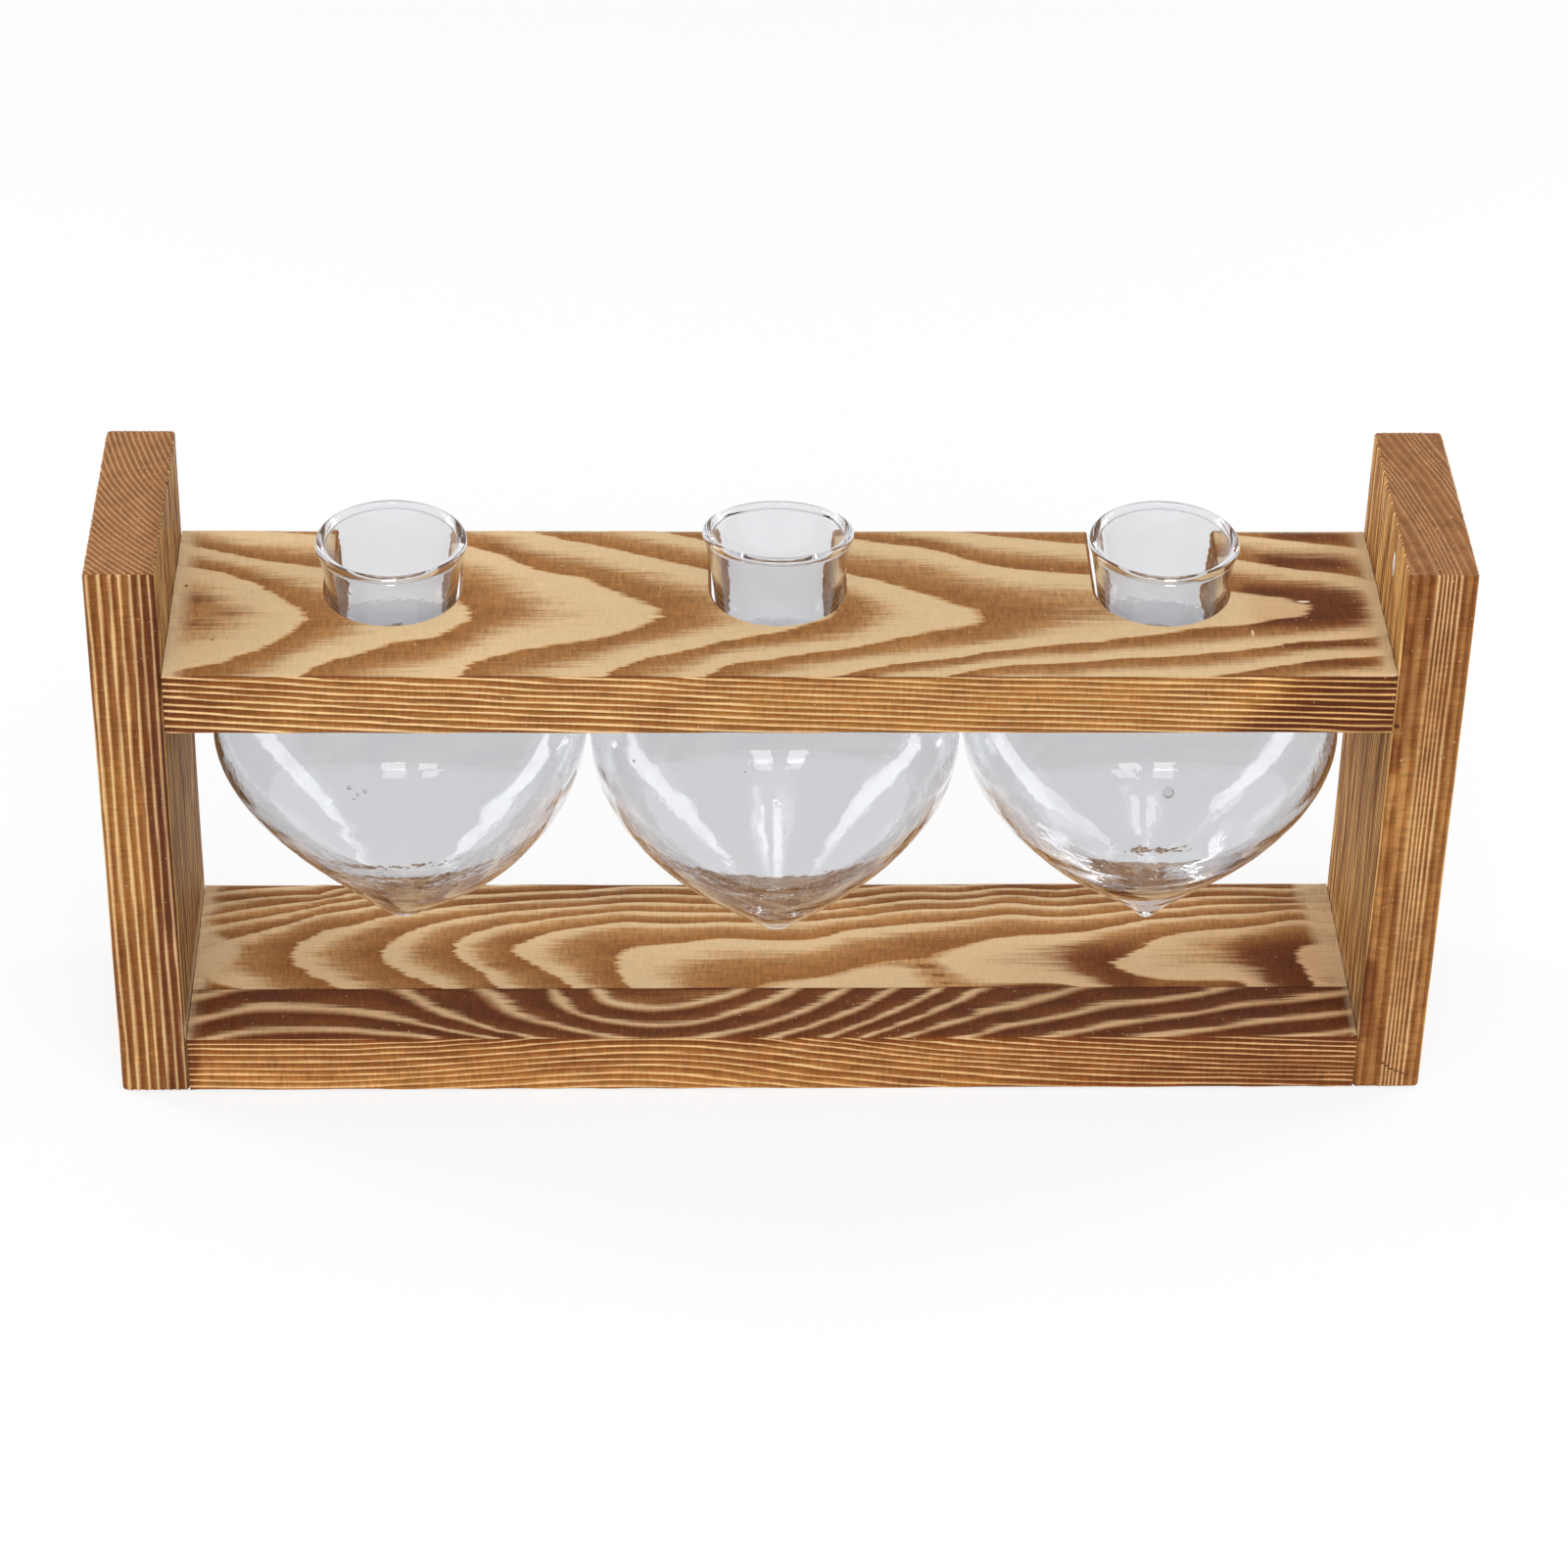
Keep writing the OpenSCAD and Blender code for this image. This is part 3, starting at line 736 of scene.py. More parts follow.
def right_front_look(depth, z, wander):
    """Front edge of the right board: plain, with fine lines in the middle and scorched inner patches."""
    seam = BOARD_T - depth
    lines = smooth_step(6.4, 7.4, seam) * (1 - smooth_step(12.6, 13.8, seam))
    lines = lines * (0.55 + 0.3 * ripple(37, (60, 60), z, seam))
    burn = 0.33 + 0.09 * ripple(29, (24, 9), z, depth) + 0.1 * smooth_step(100, 150, z)
    for low, high in ((131, 143), (97, 110), (15, 42)):
        burn = np.maximum(burn, 0.62 * patch(seam, z, (-3, low), (3.4, high), 2.6))
    burn = burn - 0.16 * spot(seam, z, (5, 86), (7, 16)) - 0.08 * smooth_step(13, 17, seam)
    return layer_look(stripe_count(seam + 0.3 * wander, STRIPES_RIGHT), burn=burn, share=0.45, soft=1.0,
                      fade=0.3, figure=0.06 + lines, gold=0.75)


def side_look(outer, low, high):
    """Attributes of a side board: upright grain, rings round an axis beside the board."""
    left = outer == "left"
    axis = LEFT_AXIS if left else RIGHT_AXIS

    def board_look(side, points):
        x, y, z = points.T
        wander = 0.3 * ripple(23, (160, 30), z, y) + 0.1 * ripple(25, (45, 12), z, x)
        depth = x - low[0] if left else high[0] - x
        reach = np.hypot(x - low[0] - axis[0], y - high[1] - axis[1])
        if left:
            rings = -(reach + 0.5 * wander) / LEFT_RING_GAP
            fine = 1.0
        else:
            reach = reach - RIGHT_RING_START + 0.5 * wander
            rings = stripe_count(reach, STRIPES_RIGHT)
            fine = 0.35 + 0.65 * np.maximum(patch(reach, 0 * reach, (7, -9), (13.2, 9), 1),
                                            smooth_step(18.5, 20.5, reach))
        if side in ("top", "bottom"):
            burn = 0.3 * smooth_step(11, 17, depth) if left else 0.12 + 0.1 * ripple(35, (9, 20), x, y)
            return look(ring=rings, end=1.0, burn=burn, share=0.36, soft=0.6, fade=0.2, figure=fine)
        if side == "front":
            return (left_front_look if left else right_front_look)(depth, z, wander)
        if side == "rear":
            burn = 0.34 + 0.1 * ripple(41, (40, 6), z, depth)
            return layer_look(stripe_count(depth + wander, STRIPES_LEFT), burn=burn, share=0.36, soft=0.8,
                              fade=0.3, figure=0.9)
        # The torch missed a line just above the base.
        edge = 1 - smooth_step(0.5, 4, np.abs(z - BASE_TOP - 2))
        rows = (y + 1.6 * wander) / ROW_GAP + 0.35 * ripple(39, (7, 200), y, z)
        burn = 0.36 + 0.34 * left + (0.2 - 0.1 * left) * ripple(31, (50, 7), z, y)
        burn = burn - 0.1 * smooth_step(SHELF_TOP, SHELF_TOP + 4, z)
        if side == "inner":
            # Painted shade: darker within 6 mm of the shelf's top and bottom, in the corners where the shelf
            # meets the inner face.
            shelf_corner_shade = 1 - smooth_step(0, 6, np.minimum(np.abs(z - SHELF_TOP), np.abs(z - SHELF_LOW[2])))
            corner = patch(y, z, (FRONT_Y - 9, 10), (FRONT_Y + 9, 46), 6)
            burn = burn + 0.15 * shelf_corner_shade + 0.35 * corner
            # Painted shade: the left board's inner face is darkened by almost a third, and the right board's
            # a little.
            return look(ring=rows, burn=burn, share=0.42, soft=0.7, fade=0.35, figure=0.85, gold=1.25,
                        bare=(0.8 if left else 0.2) * edge, fair=0.7 if left else 0.94)
        return look(ring=rows, burn=burn - 0.1, share=0.42, soft=0.5, gold=0.5)

    return board_look


def read(items, name, kind=float, width=1):
    """One property of all the items of a mesh, as an array with a row for each."""
    values = np.empty(len(items) * width, kind)
    items.foreach_get(name, values)
    return values.reshape(-1, width) if width > 1 else values


def write_looks(mesh, names, look_of, order, offset):
    """Writes the shader's attributes, and returns the pale share of every vertex's wood.

    The looks are worked out once for each vertex on each side, and spread to the faces' corners.
    """
    corners = read(mesh.loops, "vertex_index", np.int32)
    sides = read(mesh.attributes["side"].data, "value", np.int32)
    side_of = np.repeat(sides, read(mesh.polygons, "loop_total", np.int32))
    points = read(mesh.vertices, "co", width=3) * METRE
    values = {name: np.zeros(len(corners), np.float32) for name in LOOKS}
    for number, side in enumerate(names):
        here = side_of == number
        used, back = np.unique(corners[here], return_inverse=True)
        for name, value in look_of(side, points[used]).items():
            values[name][here] = np.broadcast_to(value, len(used))[back]
    for name, value in values.items():
        mesh.attributes.new(name, "FLOAT", "CORNER").data.foreach_set("value", value)
    grain = (points[:, order] + offset).astype(np.float32)
    mesh.attributes.new("grain", "FLOAT_VECTOR", "POINT").data.foreach_set("vector", grain.reshape(-1))
    mesh.attributes.remove(mesh.attributes["side"])
    t = np.mod(values["ring"], 1)
    pale = smooth_step(1 - values["share"] - 0.2, 1 - values["share"] + 0.15, t)
    pale = pale * (1 - smooth_step(0.9, 1.0, t)) * values["figure"]
    count = np.bincount(corners, minlength=len(points))
    return np.bincount(corners, pale, len(points)) / np.maximum(count, 1)


def brush(mesh, pale, depth):
    """Sinks the soft wood between the pale lines, along the surface and never outwards."""
    sink = depth * (1 - pale)[:, None] * read(mesh.vertex_normals, "vector", width=3)
    mesh.vertices.foreach_set("co", (read(mesh.vertices, "co", width=3) - sink).reshape(-1))
    mesh.update()


def smooth(mesh, angle=None):
    """Smooth shading, with sharp edges over an angle if one is given."""
    mesh.polygons.foreach_set("use_smooth", np.ones(len(mesh.polygons), bool))
    if angle is not None:
        mesh.set_sharp_from_angle(angle=math.radians(angle))
    mesh.update()


def show(mesh, name, material, body, node):
    """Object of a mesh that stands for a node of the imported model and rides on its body."""
    mesh.materials.append(material)
    made = bpy.data.objects.new(name, mesh)
    bpy.context.scene.collection.objects.link(made)
    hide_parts(node)
    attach(made, body)
    return made


# Shader trees
class Socket:
    """An output in a shader tree. Sums of sockets and numbers become Math nodes."""

    def __init__(self, tree, socket):
        self.tree = tree
        self.socket = socket

    def math(self, operation, *others):
        """Math node with this socket first."""
        return self.tree.math(operation, self, *others)

    def __add__(self, other):
        return self.math("ADD", other)

    def __radd__(self, other):
        return self.math("ADD", other)

    def __sub__(self, other):
        return self.math("SUBTRACT", other)

    def __rsub__(self, other):
        return self.tree.math("SUBTRACT", other, self)

    def __mul__(self, other):
        return self.math("MULTIPLY", other)

    def __rmul__(self, other):
        return self.math("MULTIPLY", other)


class Tree:
    """Shader tree of a new material or world."""

    def __init__(self, owner):
        self.owner = owner
        self.owner.use_nodes = True
        self.nodes = self.owner.node_tree.nodes
        self.links = self.owner.node_tree.links
        self.nodes.clear()

    def node(self, kind, settings=None, inputs=None, output=0):
        """Adds a node, sets its settings and then its inputs, and returns one of its outputs.

        An input or output is found by its number, its identifier or its name.
        """
        made = self.nodes.new(kind)
        for name, value in (settings or {}).items():
            setattr(made, name, value)
        for key, value in (inputs or {}).items():
            target = self.find(made.inputs, key)
            if isinstance(value, Socket):
                self.links.new(value.socket, target)
            else:
                target.default_value = value
        return Socket(self, self.find(made.outputs, output)) if made.outputs else made

    @staticmethod
    def find(sockets, key):
        """A socket by number, identifier or name."""
        if isinstance(key, int):
            return sockets[key]
        return next(s for s in sockets if key in (s.identifier, s.name))

    def math(self, operation, *values):
        """Math node over sockets and numbers."""
        return self.node("ShaderNodeMath", {"operation": operation}, dict(enumerate(values)))

    def attribute(self, name, output="Fac"):
        """An attribute of the mesh."""
        return self.node("ShaderNodeAttribute", {"attribute_name": name}, output=output)

    def scaled(self, vector, sizes, offset=(0, 0, 0)):
        """A vector divided by a size on each axis, and moved."""
        rates = tuple(1 / size for size in sizes)
        return self.node("ShaderNodeVectorMath", {"operation": "MULTIPLY_ADD"},
                         {0: vector, 1: rates, 2: offset}, "Vector")

    def noise(self, vector, sizes, offset=(0, 0, 0), detail=2.0, rough=0.5):
        """Noise from about -1 to 1 with a typical size on each axis."""
        place = self.scaled(vector, sizes, offset)
        raw = self.node("ShaderNodeTexNoise", {"noise_dimensions": "3D"},
                        {"Vector": place, "Scale": 1.0, "Detail": detail, "Roughness": rough}, "Fac")
        return (raw - 0.5) * 4.0

    def speckle(self, scale, detail):
        """Noise from 0 to 1 on the piece's own coordinates."""
        place = self.node("ShaderNodeTexCoord", output="Object")
        inputs = {"Vector": place, "Scale": scale, "Detail": detail}
        return self.node("ShaderNodeTexNoise", None, inputs, "Fac")

    def ray(self, name):
        """1 for one kind of ray, or another of the light path's numbers."""
        return self.node("ShaderNodeLightPath", output=name)

    def step(self, low, high, value):
        """0 below low, 1 above high, and an S-shaped curve between."""
        return self.node("ShaderNodeMapRange", {"interpolation_type": "SMOOTHSTEP"},
                         {"Value": value, "From Min": low, "From Max": high}, "Result")

    def mark(self, vector, centre, sizes, rough):
        """1 in a small blot with a ragged rim round a place, and 0 outside it."""
        away = self.scaled(vector, sizes, tuple(-c / s for c, s in zip(centre, sizes)))
        reach = self.node("ShaderNodeVectorMath", {"operation": "LENGTH"}, {0: away}, "Value") + rough * 0.25
        return 1.0 - self.step(0.8, 1.1, reach)

    def mix(self, factor, first, second, blend="MIX"):
        """Colour mix, with the factor held from 0 to 1."""
        return self.node("ShaderNodeMix", {"data_type": "RGBA", "blend_type": blend, "clamp_factor": True},
                         {"Factor_Float": factor, "A_Color": first, "B_Color": second}, "Result_Color")

    def grey(self, value):
        """A number as a grey colour."""
        return self.node("ShaderNodeCombineColor", None, {0: value, 1: value, 2: value}, "Color")

    def bump(self, height, distance, strength=1.0):
        """Bump from a height from 0 to 1, with its depth in metres."""
        return self.node("ShaderNodeBump", None,
                         {"Height": height, "Distance": distance, "Strength": strength}, "Normal")

    def principled(self, **inputs):
        """Principled shader; an input's name has _ for each space."""
        named = {name.replace("_", " "): value for name, value in inputs.items()}
        return self.node("ShaderNodeBsdfPrincipled", None, named, "BSDF")

    def finish(self, shader):
        """Links the shader to the output and returns the material."""
        self.node("ShaderNodeOutputMaterial", {"target": "ALL"}, {"Surface": shader})
        return self.owner


def colour(value):
    """Four channels of a colour setting."""
    return tuple(value[:3]) + (1.0,)


def tone(red, green, blue):
    """Four channels of a display colour given from 0 to 255."""
    return colour(linear(red, green, blue))


def shelf_mark(x, v, sizes, shown):
    """Mark on the shelf's top, x from its left end and v from its rear edge."""
    return (x - INNER_X, REAR_Y - v, SHELF_TOP), sizes, shown


def right_mark(x, y, z, sizes, shown):
    """Mark on the right board, whose grain coordinates run up, back and across."""
    return (RIGHT_GRAIN[0] + z, RIGHT_GRAIN[1] + y, RIGHT_GRAIN[2] + x), sizes, shown


# Small marks: each is a place in a board's own grain coordinates, its half sizes and its colour.
LEFT_GRAIN = (30, 7, 60)
RIGHT_GRAIN = (90, 40, 13)
SCRATCH = ((7.0, 8.2), (8.2, 7.3), (9.5, 6.3), (10.8, 5.6), (12.2, 4.9), (13.5, 4.4))
MARKS = [
    shelf_mark(3.0, 26.0, (0.5, 0.4, 0.6), tone(70, 45, 30)),
    shelf_mark(11.0, 50.0, (0.45, 0.35, 0.6), tone(80, 50, 32)),
    shelf_mark(277.0, 33.0, (1.5, 0.5, 0.6), tone(232, 214, 190)),
    shelf_mark(263.0, 47.0, (0.4, 1.4, 0.6), tone(222, 190, 146)),
    right_mark(INNER_X, -17.5, 145.5, (3.4, 1.5, 1.0), tone(238, 230, 228)),
    right_mark(INNER_X + 0.8, FRONT_Y, 112.3, (0.8, 1.0, 0.9), tone(78, 46, 24)),
]
MARKS += [right_mark(INNER_X + seam, FRONT_Y, z, (0.35, 1.0, 0.8), tone(104, 62, 34)) for seam, z in SCRATCH]


# Depths of the fibres in the wood and of the waves in the glass, and how far the glass bends light.
FIBRE_DEPTH = 0.22 * MM
WAVE_DEPTH = 0.16 * MM
GLASS_IOR = 1.47


def wood_material(settings):
    """Torched, brushed softwood.

    A ring runs from brown just outside a hard line, through streaks, to pale just inside the next.
    Fibres tear the line where it crosses the grain. Torching browns everything, the soft wood most. Painted
    light brightens the edges' pale lines, and brightens or darkens whole sides.
    """
    tree = Tree(bpy.data.materials.new("torched_wood"))
    grain = tree.attribute("grain", "Vector")
    ring, drift, share, soft, fade, figure, burn, gold, bare, end, fair = (
        tree.attribute(name) for name in LOOKS)
    # Noise, each with its sizes in millimetres along the grain and across it
    tear = tree.noise(grain, (12.0, 0.7, 0.7), detail=2.0)
    wander = tree.noise(grain, (40.0, 2.6, 2.6), (7, 3, 1), detail=1.0)
    streak = tree.noise(grain, (20.0, 0.8, 0.8), (3, 9, 4), detail=2.0, rough=0.6)
    fibre = tree.noise(grain, (9.0, 0.5, 0.5), (11, 2, 6), detail=2.0, rough=0.6)
    cloud = tree.noise(grain, (24.0, 8.0, 8.0), (5, 5, 8), detail=2.0)
    tick = tree.noise(grain, (0.8, 3.5, 3.5), (2, 8, 3), detail=1.0)
    fleck = tree.step(0.7, 1.2, tree.noise(grain, (4.0, 0.4, 0.4), (1, 4, 9), detail=1.0))
    dust = tree.step(1.3, 1.45, tree.noise(grain, (0.7, 0.7, 0.7), (6, 6, 2), detail=0.0))
    # How far through its ring a place lies, and how pale it is
    place = ring + drift * tear * 1.4 + wander * (gold * 0.13 + 0.02)
    t = place.math("FRACT")
    middle = 1.0 - share + streak * (0.10 + fade * 0.12) + wander * 0.06
    rise = tree.step(middle - fade * 0.6, middle + fade * 0.45, t)
    drop = tree.step(1.0 - (soft * 0.34 + 0.03), 1.0, t)
    pale = rise * (1.0 - drop) * figure * (1.0 + gold * wander * 0.3)
    # Torched soft wood, the pale lines and the golden edges, with painted light that brightens the edges'
    # pale lines
    late = tree.step(0.0, 0.8, t)
    heat = (burn + cloud * 0.06 + streak * 0.05).math("MAXIMUM", 0.0)
    hot = tree.step(0.0, 0.6, heat)
    scorched = tree.step(0.42, 1.0, heat)
    toasted = tree.mix(hot, colour(settings.brown), tone(128, 76, 37))
    torched = tree.mix(hot, colour(settings.dark), tone(104, 56, 26))
    soft_wood = tree.mix(late, torched, toasted)
    soft_wood = tree.mix(scorched * 0.9, soft_wood, colour(settings.char))
    # Painted light: the pale lines are painted brighter on the golden edges.
    bright = tree.mix(gold, colour(settings.pale), tone(255, 228, 190))
    hard_wood = tree.mix(tree.step(0.3, 1.0, heat) * 0.5, bright, tone(186, 132, 84))
    surface = tree.mix(pale, soft_wood, hard_wood)
    golden = tree.mix(1.0, surface, tone(255, 232, 180), "MULTIPLY")
    surface = tree.mix(gold * 0.8, surface, golden)
    # End grain, and places that the torch missed
    end_wood = tree.mix(pale * 0.9 + late * 0.1, tone(140, 92, 54), tone(192, 148, 106))
    end_wood = tree.mix(heat * 0.9, end_wood, tone(112, 68, 38))
    surface = tree.mix(end * (1.0 - scorched), surface, end_wood)
    missed = bare + streak * 0.12 * bare
    surface = tree.mix(missed * 0.85, surface, tone(214, 186, 146))
    # Fibres, flecks, dust and marks, and painted light that brightens or darkens whole sides
    brown = 1.0 - pale * 0.8 - bare * 0.5
    shade = 1.0 + (streak * 0.08 + fibre * 0.26 + tick * 0.2) * brown - fleck * pale * 0.22
    # Painted light: the whole colour is scaled by the side's painted brightness.
    surface = tree.mix(1.0, surface, tree.grey(shade * fair), "MULTIPLY")
    surface = tree.mix(dust * brown * 0.6, surface, tone(226, 196, 160))
    for centre, sizes, shown in MARKS:
        surface = tree.mix(tree.mark(grain, centre, sizes, fibre), surface, shown)
    relief = pale * 0.55 + fibre * 0.2 + streak * 0.10 + tick * 0.12 + 0.4
    normal = tree.bump(relief, FIBRE_DEPTH, 0.8)
    rough = 0.66 - scorched * 0.12 + fibre * 0.04
    return tree.finish(tree.principled(Base_Color=surface, Roughness=rough, Normal=normal,
                                       Specular_IOR_Level=0.14))


def steel_material():
    """Plated screw steel."""
    tree = Tree(bpy.data.materials.new("plated_steel"))
    return tree.finish(tree.principled(Base_Color=tone(176, 172, 160), Metallic=1.0,
                                       Roughness=0.28 + tree.speckle(900.0, 2.0) * 0.14))


def glass_material(settings):
    """Clear blown glass with a slight grey tint.

    Lamps and soft light shine through it, and so does a ray that it has mirrored inside three times.
    """
    tree = Tree(bpy.data.materials.new("clear_glass"))
    waves = tree.speckle(170.0, 1.0) + tree.speckle(800.0, 0.0) * 0.26
    glass = tree.principled(Base_Color=colour(settings.tint), Roughness=0.0, IOR=GLASS_IOR,
                            Transmission_Weight=1.0, Normal=tree.bump(waves, WAVE_DEPTH, 0.35))
    clear = tree.node("ShaderNodeBsdfTransparent", None, {"Color": (0.94, 0.94, 0.95, 1.0)}, "BSDF")
    trapped = tree.ray("Glossy Depth").math("GREATER_THAN", 2.5)
    through = tree.ray("Is Shadow Ray").math("MAXIMUM", tree.ray("Is Diffuse Ray")).math("MAXIMUM", trapped)
    return tree.finish(tree.node("ShaderNodeMixShader", None, {0: through, 1: glass, 2: clear}, "Shader"))


# Glass
GLASS_LOW, GLASS_HIGH = millimetres("vase_left")
TIP_Z = float(GLASS_LOW[2])
LIP_TOP = float(GLASS_HIGH[2])
WIDEST_Z = TIP_Z + 59.0
SHOULDER_Z = TIP_Z + 78.0
SHELF_UNDER = float(SHELF_LOW[2])
LIP_R = 1.2
LIP_Z = LIP_TOP - LIP_R
MOUTH_R = 18.35
WAIST_R = 14.83
FILLET = 3.0
LEAN = math.radians(8.6)
LEAN_PIVOT = SHELF_UNDER + BOARD_T / 2
# The inside of a section starts at least this far from the axis.
AXIS_GAP = 0.4
# Rows of points on each part of a vase's section
TIP_ROWS = 14
FLANK_ROWS = 90
SHOULDER_ROWS = 40
FILLET_ROWS = 12
FLARE_ROWS = 45
LIP_ROWS = 20


def glass_side(blown):
    """Outside of a vase from the tip to the start of the lip, as radii and heights.

    A round tip, the flank, a quarter ellipse for the shoulder, a fillet into the neck, and a flare
    whose radius grows with the square of the height.
    """
    arc = np.radians(np.linspace(-90, blown.tip_turn, TIP_ROWS))
    tip_r = blown.tip_r * np.cos(arc)
    tip_z = TIP_Z + blown.lift + blown.tip_r * (1 + np.sin(arc))
    start = 1 - (1 - (tip_r[-1] / blown.radius) ** (1 / blown.fill)) ** (1 / blown.bulge)
    f = np.linspace(0, 1, FLANK_ROWS + 1)[1:]
    quarter = np.radians(np.linspace(0, 90, SHOULDER_ROWS + 2)[1:-1])
    ring = WAIST_R + FILLET
    turn = np.radians(np.linspace(-90, -180, FILLET_ROWS))
    rise = np.linspace(0, 1, FLARE_ROWS + 1)[:-1]
    r = np.concatenate([
        tip_r,
        blown.radius * (1 - ((1 - start) * (1 - f)) ** blown.bulge) ** blown.fill,
        ring + (blown.radius - ring) * np.cos(quarter),
        ring + FILLET * np.cos(turn),
        WAIST_R + (MOUTH_R - WAIST_R) * rise ** 2,
    ])
    z = np.concatenate([
        tip_z,
        tip_z[-1] + (WIDEST_Z - tip_z[-1]) * f,
        WIDEST_Z + (SHOULDER_Z - WIDEST_Z) * np.sin(quarter),
        SHOULDER_Z + FILLET + FILLET * np.sin(turn),
        SHELF_UNDER + (LIP_Z - SHELF_UNDER) * rise,
    ])
    return r, z


def wall_at(height, blown, settings):
    """Thickness of the glass at a height: full in the neck, less in the bulb, and more near a foot."""
    neck = smooth_step(WIDEST_Z + 6, SHOULDER_Z + FILLET, height)
    foot = blown.foot * (1 - smooth_step(TIP_Z + 3, TIP_Z + 27, height))
    return METRE * (settings.bulb_wall + (settings.wall - settings.bulb_wall) * neck) + foot


def outward(r, z):
    """Outward direction at each point of a section, as a radial and an upright part."""
    along_r, along_z = np.gradient(r), np.gradient(z)
    length = np.hypot(along_r, along_z)
    return along_z / length, -along_r / length


def glass_section(blown, settings):
    """Closed half section of a vase: up the outside, over the lip and down the inside.

    The inside follows the outside at the wall's thickness, and turns level at the floor's height.
    Also given are the row where the inside starts, and how much each row belongs to the floor.
    """
    r, z = glass_side(blown)
    thick = wall_at(z, blown, settings)
    out_r, out_z = outward(r, z)
    inside_r, inside_z = r - thick * out_r, z - thick * out_z
    first = np.flatnonzero(inside_r < AXIS_GAP).max() + 1
    inside_r, inside_z = inside_r[first:], inside_z[first:]
    above = inside_z - (TIP_Z + blown.lift + blown.floor)
    reach = np.hypot(above, blown.floor_round)
    inside_z = inside_z + (reach - above) / 2
    wall = settings.wall * METRE
    half = math.acos(wall / 2 / LIP_R)
    lip = np.linspace(-half, math.pi + half, LIP_ROWS)
    lip_r = MOUTH_R - wall / 2 + LIP_R * np.cos(lip)
    lip_z = LIP_Z + LIP_R * np.sin(lip)
    share = (1 - above / reach) / 2
    return (np.concatenate([r, lip_r, inside_r[::-1], [0.0]]),
            np.concatenate([z, lip_z, inside_z[::-1], inside_z[:1]]),
            len(r) + LIP_ROWS // 2,
            np.concatenate([0 * r, 0 * lip_r, share[::-1], share[:1]]))


def revolved(r, z, segments):
    """Points of a half section turned round the Z axis, as a grid of rows by segments."""
    angle = np.linspace(0, 2 * math.pi, segments, endpoint=False)
    return (r[:, None] * np.cos(angle), r[:, None] * np.sin(angle),
            np.broadcast_to(z[:, None], (len(r), segments)), np.broadcast_to(angle, (len(r), segments)))


def closed_points(grid):
    """Points of a revolved grid in a row, with one point for each of its ends."""
    return np.concatenate([grid[0, :1], grid[1:-1].reshape(-1, 3), grid[-1, :1]])


def grid_faces(rows, segments):
    """Faces of a revolved grid whose first and last rows are single points."""
    index = 1 + np.arange((rows - 2) * segments).reshape(rows - 2, segments)
    onward = np.roll(index, -1, axis=1)
    quads = np.stack([index[:-1], onward[:-1], onward[1:], index[1:]], -1).reshape(-1, 4)
    last = 1 + (rows - 2) * segments
    low = np.stack([np.zeros(segments, int), onward[0], index[0]], -1)
    high = np.stack([np.full(segments, last), index[-1], onward[-1]], -1)
    return quads.tolist() + low.tolist() + high.tolist()


class Blown:
    """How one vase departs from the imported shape. Sizes are in millimetres.

    seed        start of its waves' random draws
    radius      largest radius of the bulb
    oval        share by which it is wider along X
    fill, bulge powers of the flank: its radius grows as (1 - (1 - height) ** bulge) ** fill
    tip_r       radius of the tip, and tip_turn the angle where the flank starts from it
    lift        how much higher the tip hangs than packed
    floor       height of the inside above the tip, and floor_round the radius of its rim
    foot        glass added to the wall near the tip
    knob        height of the knob in the floor's middle
    crumple     height of the lumps on the floor
    middles     how far the bulb's middle lies to the right at the tip, above it and at its widest
    bubbles     turn from the front in radians, height and size of each
    """

    def __init__(self, **traits):
        vars(self).update(traits)

    def middle_at(self, height):
        """How far the bulb's middle lies from the slot's axis at a height, along X."""
        knots = (TIP_Z, TIP_Z + 24, WIDEST_Z, SHOULDER_Z)
        middles = tuple(self.middles) + (0.0,)
        shift = middles[0] + 0.0 * height
        for low, high, before, after in zip(knots, knots[1:], middles, middles[1:]):
            shift = shift + (after - before) * smooth_step(low, high, height)
        return shift


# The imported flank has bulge 1.8 and fill 1.08.
VASES = {
    "vase_left": Blown(
        seed=31, radius=46.75, oval=0.0, fill=1.13, bulge=1.72, tip_r=8.0, tip_turn=-49, lift=0.3,
        floor=3.2, floor_round=1.6, foot=0.0, knob=0.0, crumple=0.12, middles=(0.3, 3.7, 0.9),
        bubbles=[(-0.24, 96.5, 0.6), (-0.19, 95.3, 0.4), (-0.15, 96.1, 0.5), (-0.21, 94.4, 0.35)]),
    "vase_middle": Blown(
        seed=37, radius=46.35, oval=0.0, fill=1.12, bulge=2.04, tip_r=7.0, tip_turn=-49, lift=2.8,
        floor=4.5, floor_round=2.0, foot=0.0, knob=2.0, crumple=0.25, middles=(1.0, -0.45, -0.25),
        bubbles=[(-0.9, 92.0, 0.4), (-0.2, 96.0, 0.3)]),
    "vase_right": Blown(
        seed=41, radius=46.9, oval=0.009, fill=1.3, bulge=1.8, tip_r=3.0, tip_turn=-18, lift=-1.7,
        floor=12.5, floor_round=1.5, foot=4.0, knob=0.0, crumple=0.3, middles=(2.3, -0.9, -0.5),
        bubbles=[(0.0, 96.0, 1.4)]),
}


